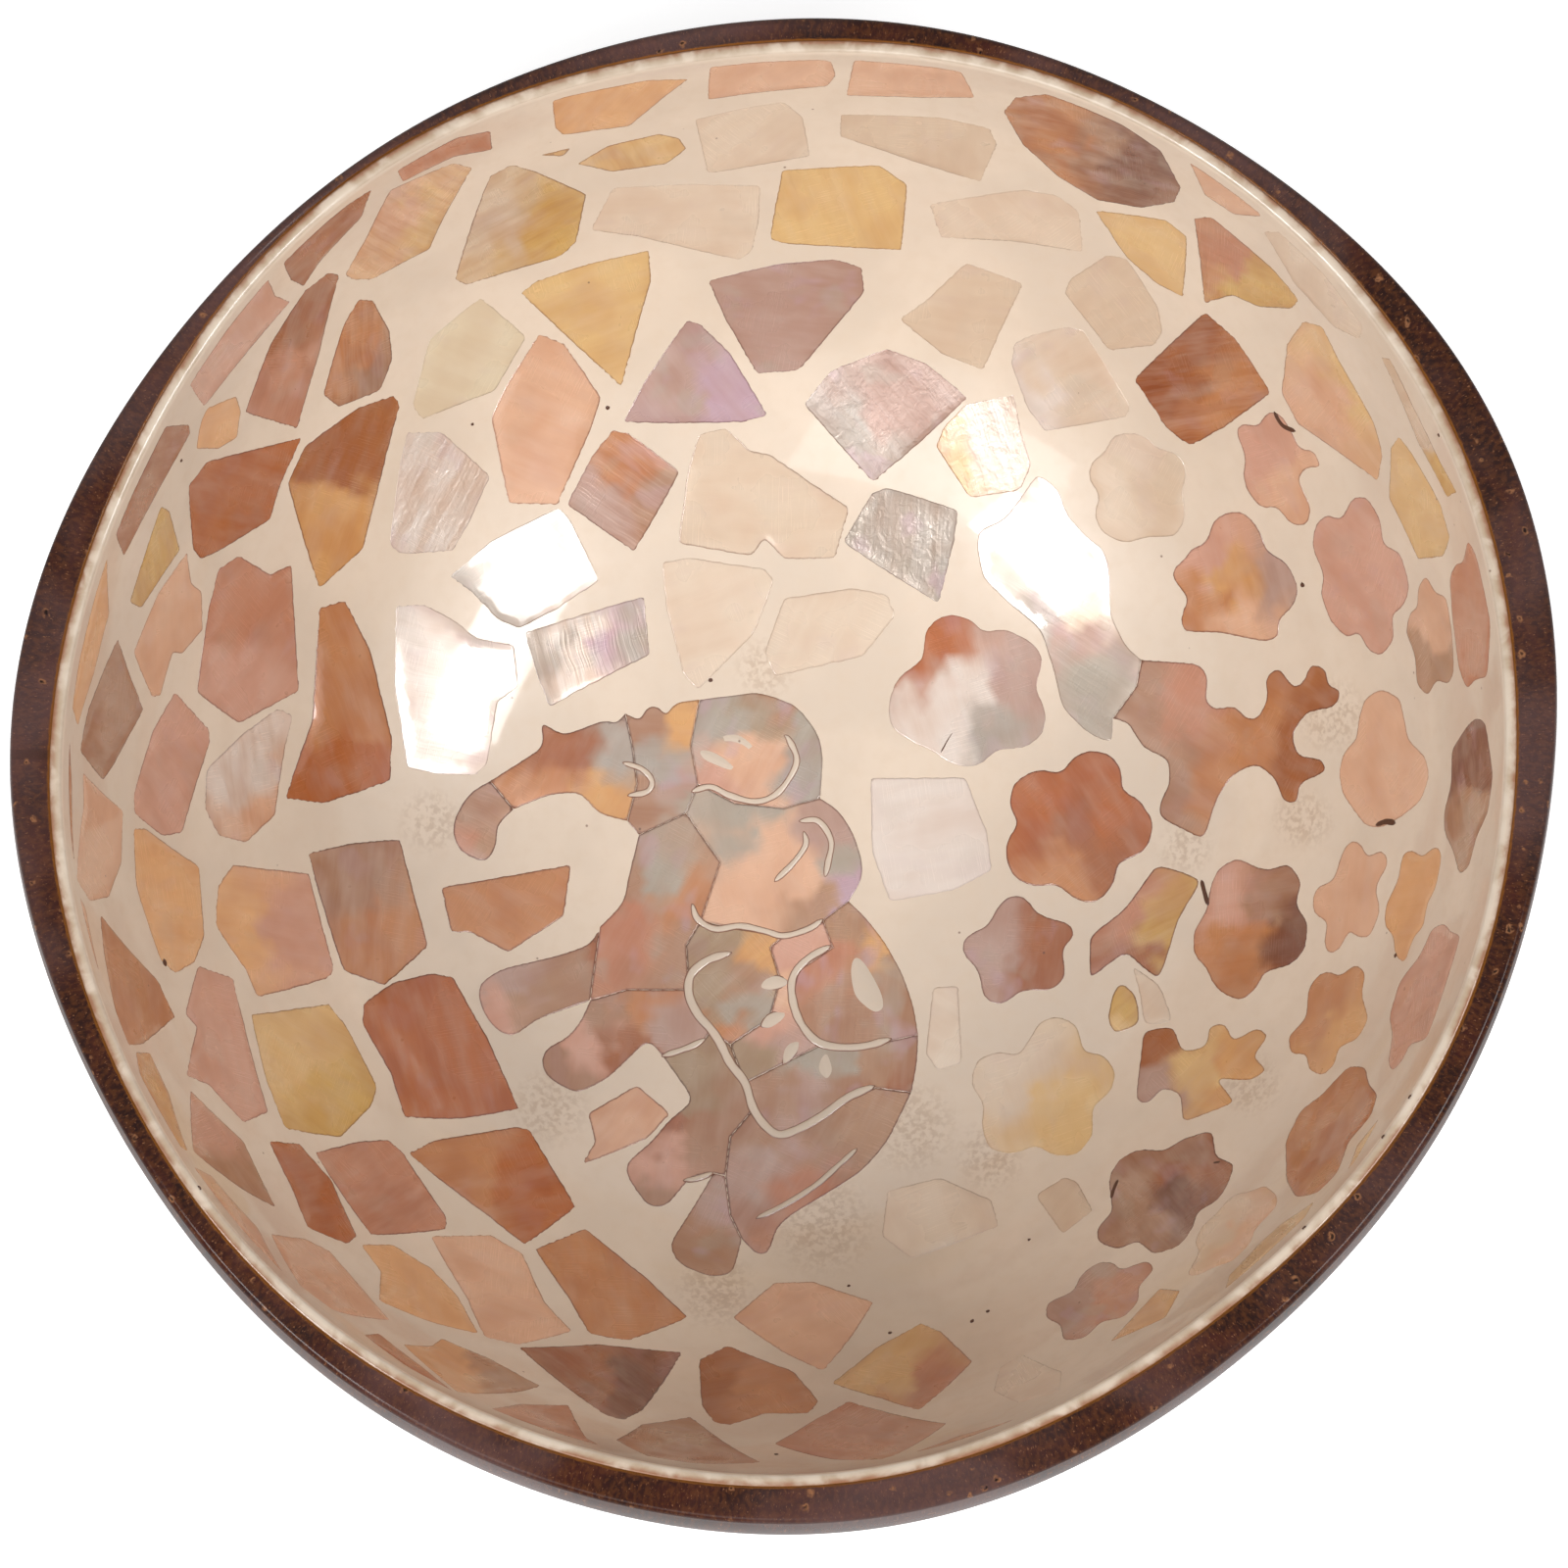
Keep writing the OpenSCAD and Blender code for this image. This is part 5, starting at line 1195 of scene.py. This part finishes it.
def inlay_piece(node, passes, chip, flatness, shared=frozenset()):
    """All inlays of a node, as one piece with their cut edges, tones and growth."""
    s = inlay()
    verts, faces, tints, rims, lays = [], [], [], [], []
    start = 0
    for number, (places, tris) in enumerate(packed_islands(node)):
        corners = top_outline(places, tris)
        held = [tuple(np.round(p, 6)) in shared for p in corners]
        loop = unrolled(corners)
        if np.cross(loop, np.roll(loop, -1, 0)).sum() < 0:
            loop, held = loop[::-1], held[::-1]
        points, held = stepped(loop, s.step, held)
        outline = chipped(eased(points, held, passes), held, s.chip * chip)
        flat, top, tiles, bottom, walls, rim = slab(outline, flatness)
        island = np.concatenate([top, bottom])
        twice = np.concatenate([flat, flat])
        verts.append(island)
        faces += [[start + i for i in face] for face in tiles + walls]
        seen = photo_px(rolled(flat))
        colours = tones_at(node, seen, photo_px(rolled(outline)))
        tints.append(np.concatenate([colours, colours]))
        rims.append(np.concatenate([rim, rim]))
        turn = LAY_TURN * number + LAY_NAME_TURN * len(node)
        c, d = math.cos(turn), math.sin(turn)
        lays.append(np.stack([twice[:, 0] * c - twice[:, 1] * d + LAY_SHIFT * number,
                              twice[:, 0] * d + twice[:, 1] * c, np.full(len(twice), LAY_RISE * number)], -1))
        start += len(island)
    slot = slot_of(node)
    piece = made(node + "_finish", np.concatenate(verts), faces, slot, node)
    marks(piece, "tint", "FLOAT_COLOR", np.concatenate(tints))
    marks(piece, "rim", "FLOAT", np.concatenate(rims))
    marks(piece, "lay", "FLOAT_VECTOR", np.concatenate(lays))
    piece.data.materials.append(nacre_finish(slot.replace("_nacre", "")))
    return piece


def slot_of(node):
    return next(part["material_slot"] for part in frame["record"]["subparts"] if part["node"] == node)


def rounded_line(points, per=7):
    """A smooth line through points, open or closed."""
    p = np.asarray(points, float)
    ends = np.concatenate([[2 * p[0] - p[1]], p, [2 * p[-1] - p[-2]]])
    if np.allclose(p[0], p[-1]):
        ends = np.concatenate([[p[-2]], p, [p[1]]])
    line = []
    for a, b, c, d in zip(ends, ends[1:], ends[2:], ends[3:]):
        for t in np.linspace(0, 1, per, endpoint=False):
            line.append(0.5 * (2 * b + (c - a) * t + (2 * a - 5 * b + 4 * c - d) * t * t
                               + (3 * b - a - 3 * c + d) * t ** 3))
    return np.array(line + [p[-1]])


def ribbon(points, half_px, low, high, taper):
    """A raised line on the wall: closed skin, and each point's distance from its edge."""
    line = wall_seen(rounded_line(points))
    half = half_px * sizes().rim / RIM_PX
    steps = np.linalg.norm(np.diff(line, axis=0), axis=1)
    run = np.concatenate([[0], np.cumsum(steps)])
    keep = np.concatenate([[True], steps > 1e-7])
    line, run = line[keep], run[keep]
    along = np.gradient(line, axis=0)
    along /= np.linalg.norm(along, axis=1)[:, None]
    across = np.stack([-along[:, 1], along[:, 0]], -1)
    ends = np.minimum(run, run[-1] - run) / (taper * half)
    width = half * np.sqrt(np.clip(1 - (1 - np.clip(ends, 0, 1)) ** 2, LINE_END_SHARE, 1))
    wobble = np.array([noise.noise(Vector((*(p / LINE_WAVE), 5))) for p in line])
    width = width * (1 + LINE_WAVE_SHARE * wobble)
    rows, depth = [], []
    for share in LINE_SECTION_SHARES:
        flat = line + across * (width * share)[:, None]
        lift = low + (high - low) * (1 - share ** 4) * np.minimum(1, width / half * LINE_FULL)
        rows.append(rolled(flat) + wall_normals(flat) * lift[:, None])
        depth.append(width * (1 - abs(share)))
    for share in (1, -1):
        flat = line + across * (width * share * LINE_FOOT_SHARE)[:, None]
        rows.append(rolled(flat) - wall_normals(flat) * LINE_DEPTH)
        depth.append(width * 0)
    rings = np.stack(rows, 1)
    count, sides = rings.shape[:2]
    verts = rings.reshape(-1, 3)
    caps = [list(range(sides))[::-1], list(range((count - 1) * sides, count * sides))]
    return verts, caps + sleeve(sides, count), np.stack(depth, 1).ravel()


def leaf(points, low, high):
    """A filled cream shape on the nacre: closed skin, and each point's distance from its edge."""
    outline = wall_seen(rounded_line([*points, points[0]], per=4)[:-1])
    if np.cross(outline, np.roll(outline, -1, 0)).sum() < 0:
        outline = outline[::-1]
    flat, top, faces, bottom, walls, far = slab(outline, 0, low, high)
    return np.concatenate([top, bottom]), faces + walls, np.concatenate([far, far])


def joined(parts):
    """Several skins as one set of points and faces."""
    verts, faces, start = [], [], 0
    for points, skin, *_ in parts:
        verts.append(points)
        faces += [[start + i for i in face] for face in skin]
        start += len(points)
    return np.concatenate(verts), faces


def speck(x, y, radius_px):
    """A small ragged lens of dirt or an open pore, lying in the surface."""
    centre = wall_seen([(x, y)])[0]
    radius = radius_px * sizes().rim / RIM_PX
    turns = np.linspace(0, 2 * math.pi, SPECK_SIDES, endpoint=False)
    around = [Vector((math.cos(t) * SPECK_WAVES, math.sin(t) * SPECK_WAVES, x + y)) for t in turns]
    rough = np.array([1 + SPECK_WAVE_SHARE * noise.noise(place) for place in around])
    rows = []
    for share, lift in SPECK_RINGS:
        flat = centre + np.stack([np.cos(turns), np.sin(turns)], -1) * (rough * radius * share)[:, None]
        rows.append(rolled(flat) + wall_normals(flat) * lift)
    verts = np.concatenate(rows)
    caps = [list(range(SPECK_SIDES)), list(range(len(verts) - SPECK_SIDES, len(verts)))[::-1]]
    return verts, caps + [quad[::-1] for quad in sleeve(SPECK_SIDES, len(SPECK_RINGS))]


def riding(name, parts, slot, material):
    """A piece of trim that lies on the bowl and stands for no node of its own."""
    verts, faces = joined(parts)
    piece = made(name, verts, faces, slot)
    piece.data.materials.append(material)
    return piece


def shown_rays(tree):
    """One for what is seen, straight, mirrored or through glass, and zero for light on the object."""
    rays = put(tree, "LightPath").outputs
    mirrored = sums(tree, "MAXIMUM", rays["Is Glossy Ray"], rays["Is Transmission Ray"])
    return sums(tree, "MAXIMUM", rays["Is Camera Ray"], mirrored)


def stage_floor():
    width = bpy.context.scene.bowl_stage.floor / 2
    mesh = bpy.data.meshes.new("floor")
    mesh.from_pydata([(-width, -width, 0), (width, -width, 0), (width, width, 0), (-width, width, 0)], [],
                     [(0, 1, 2, 3)])
    floor = bpy.data.objects.new("floor", mesh)
    bpy.context.collection.objects.link(floor)
    material, tree, shader = finish("White floor")
    shader.inputs["Base Color"].default_value = (0.9, 0.9, 0.9, 1)
    shader.inputs["Roughness"].default_value = 0.9
    shader.inputs["Emission Color"].default_value = (1, 1, 1, 1)
    tree.links.new(product(tree, shown_rays(tree), 0.5), shader.inputs["Emission Strength"])
    mesh.materials.append(material)
    return floor


def area_light(name, place, target, width, height, power):
    light = bpy.data.lights.new(name, "AREA")
    light.shape = "RECTANGLE"
    light.size = width
    light.size_y = height
    light.energy = power
    lamp = bpy.data.objects.new(name, light)
    lamp.location = place
    lamp.rotation_euler = (Vector(target) - Vector(place)).to_track_quat("-Z", "Y").to_euler()
    bpy.context.collection.objects.link(lamp)
    return lamp


def mirrored_from(pixel, distance):
    """Where a lamp stands so that the camera sees it mirrored in the wall at a pixel."""
    flat = wall_seen([pixel])
    point, normal = rolled(flat)[0], wall_normals(flat)[0]
    view = line_of_sight()[0] - point
    view /= np.linalg.norm(view)
    return tuple(point + (2 * (normal @ view) * normal - view) * distance), tuple(point)


def white_room():
    world = bpy.data.worlds.new("White room")
    bpy.context.scene.world = world
    world.use_nodes = True
    tree = world.node_tree
    sky = bpy.context.scene.bowl_stage.sky
    strength = sums(tree, "MULTIPLY_ADD", shown_rays(tree), 1 - sky, sky)
    back = tree.nodes["Background"]
    back.inputs["Color"].default_value = (1, 1, 1, 1)
    tree.links.new(strength, back.inputs["Strength"])


def camera():
    stage = bpy.context.scene.bowl_stage
    data = bpy.data.cameras.new("Photograph")
    lens = bpy.data.objects.new("Photograph", data)
    bpy.context.collection.objects.link(lens)
    width = sizes().rim * PHOTO_PX / RIM_PX
    data.lens = data.sensor_width * stage.distance / width
    data.shift_x = (PHOTO_PX / 2 - MIDDLE_PX[0]) / PHOTO_PX
    data.shift_y = (MIDDLE_PX[1] - PHOTO_PX / 2) / PHOTO_PX
    lens.location = line_of_sight()[0]
    lens.rotation_euler = (stage.tilt, 0, 0)
    data.clip_start = 0.01
    bpy.context.scene.camera = lens


def nodes_named(*starts):
    found = sorted(node for node in frame["nodes"] if node.startswith(starts))
    if not found:
        raise RuntimeError(f"The frame has no node that starts with {starts}")
    return found


class BOWL_OT_shell(Operator):
    """Make the polished coconut shell"""

    bl_idname = "bowl.shell"
    bl_label = "Shell"

    def execute(self, context):
        shell_piece()
        return {"FINISHED"}


class BOWL_OT_lining(Operator):
    """Make the cream ground that lines the shell"""

    bl_idname = "bowl.lining"
    bl_label = "Cream ground"

    def execute(self, context):
        lining_piece()
        return {"FINISHED"}


class BOWL_OT_tiles(Operator):
    """Make the loose polygon tiles of nacre"""

    bl_idname = "bowl.tiles"
    bl_label = "Tiles"

    def execute(self, context):
        for node in nodes_named("abalone", "banded", "crinkled", "golden", "ivory", "lilac", "olive", "oval",
                                "peach", "pearl", "rose", "rust", "striped", "umber", "veined"):
            inlay_piece(node, passes=1, chip=1, flatness=inlay().flatness)
        return {"FINISHED"}


class BOWL_OT_flowers(Operator):
    """Make the five-petal flowers"""

    bl_idname = "bowl.flowers"
    bl_label = "Flowers"

    def execute(self, context):
        for node in nodes_named("flower"):
            inlay_piece(node, passes=7, chip=0.6, flatness=0.15)
        return {"FINISHED"}


class BOWL_OT_trees(Operator):
    """Make the blossom tree and the small tree"""

    bl_idname = "bowl.trees"
    bl_label = "Trees"

    def execute(self, context):
        nodes = nodes_named("tree", "small_tree")
        shared = shared_corners(nodes)
        for node in nodes:
            inlay_piece(node, passes=6, chip=0.5, flatness=0, shared=shared)
        return {"FINISHED"}


class BOWL_OT_elephant(Operator):
    """Make the elephant from its joined pieces of nacre"""

    bl_idname = "bowl.elephant"
    bl_label = "Elephant"

    def execute(self, context):
        nodes = nodes_named("elephant")
        shared = shared_corners(nodes)
        for node in nodes:
            inlay_piece(node, passes=8, chip=0.3, flatness=0, shared=shared)
        return {"FINISHED"}


class BOWL_OT_lines(Operator):
    """Lay the cream lines on the elephant"""

    bl_idname = "bowl.lines"
    bl_label = "Cream lines"

    def execute(self, context):
        low = inlay().proud * 0.6
        high = inlay().proud + inlay().line
        parts = [ribbon(points, half, low, high, 4) for half, points in CREAM_LINES]
        parts += [leaf(points, low, high) for points in CREAM_LEAVES]
        piece = riding("cream_lines", parts, "cream_ground", cream_finish("Cream line", line=True))
        marks(piece, "rim", "FLOAT", np.concatenate([part[2] for part in parts]))
        return {"FINISHED"}


class BOWL_OT_flaws(Operator):
    """Lay the dark cracks and the specks of dirt"""

    bl_idname = "bowl.flaws"
    bl_label = "Cracks and specks"

    def execute(self, context):
        for number, (node, half, points) in enumerate(DARK_LINES):
            part = ribbon(points, half, inlay().proud * 0.8, inlay().proud * 1.6, 3)
            riding(f"dark_line_{number}", [part], slot_of(node), dark_finish())
        riding("lacquer_specks", [speck(*place) for place in SPECKS], "cream_ground", dark_finish())
        return {"FINISHED"}


class BOWL_OT_stage(Operator):
    """Set the camera, the white floor and the lights of the photograph"""

    bl_idname = "bowl.stage"
    bl_label = "Stage"

    def execute(self, context):
        stage = context.scene.bowl_stage
        context.scene.view_settings.view_transform = "Standard"
        camera()
        white_room()
        floor = stage_floor()
        middle = (0, 0, sizes().height / 2)
        lamps = [area_light("key", WINDOW_PLACE, middle, *WINDOW_SIZE, stage.window)]
        for name, pixel, size in GLINTS:
            lamps.append(area_light(name, *mirrored_from(pixel, GLINT_DISTANCE), *size, stage.lamp))
        return {"FINISHED"}


OPERATORS = (BOWL_OT_shell, BOWL_OT_lining, BOWL_OT_tiles, BOWL_OT_flowers, BOWL_OT_trees, BOWL_OT_elephant,
             BOWL_OT_lines, BOWL_OT_flaws, BOWL_OT_stage)


class BOWL_PT_panel(Panel):
    """Sizes, colours and pieces of the bowl"""

    bl_label = "Mosaic coconut bowl"
    bl_idname = "BOWL_PT_panel"
    bl_space_type = "VIEW_3D"
    bl_region_type = "UI"
    bl_category = "Bowl"

    def draw(self, context):
        for operator in OPERATORS:
            self.layout.operator(operator.bl_idname)
        for group in (context.scene.bowl_sizes, context.scene.inlay_sizes, context.scene.bowl_stage):
            box = self.layout.box()
            for name in group.__annotations__:
                box.prop(group, name)


GROUPS = {"bowl_sizes": BowlSizes, "inlay_sizes": InlaySizes, "bowl_colours": BowlColours,
          "bowl_stage": StageSizes}


def register():
    for group in GROUPS.values():
        bpy.utils.register_class(group)
    for name, group in GROUPS.items():
        setattr(bpy.types.Scene, name, PointerProperty(type=group))
    for operator in OPERATORS:
        bpy.utils.register_class(operator)
    bpy.utils.register_class(BOWL_PT_panel)


def unregister():
    bpy.utils.unregister_class(BOWL_PT_panel)
    for operator in reversed(OPERATORS):
        bpy.utils.unregister_class(operator)
    for name, group in GROUPS.items():
        delattr(bpy.types.Scene, name)
        bpy.utils.unregister_class(group)


def main():
    register()
    bpy.ops.bowl.shell()
    bpy.ops.bowl.lining()
    bpy.ops.bowl.tiles()
    bpy.ops.bowl.flowers()
    bpy.ops.bowl.trees()
    bpy.ops.bowl.elephant()
    bpy.ops.bowl.lines()
    bpy.ops.bowl.flaws()
    bpy.ops.bowl.stage()


if __name__ == "__main__":
    main()
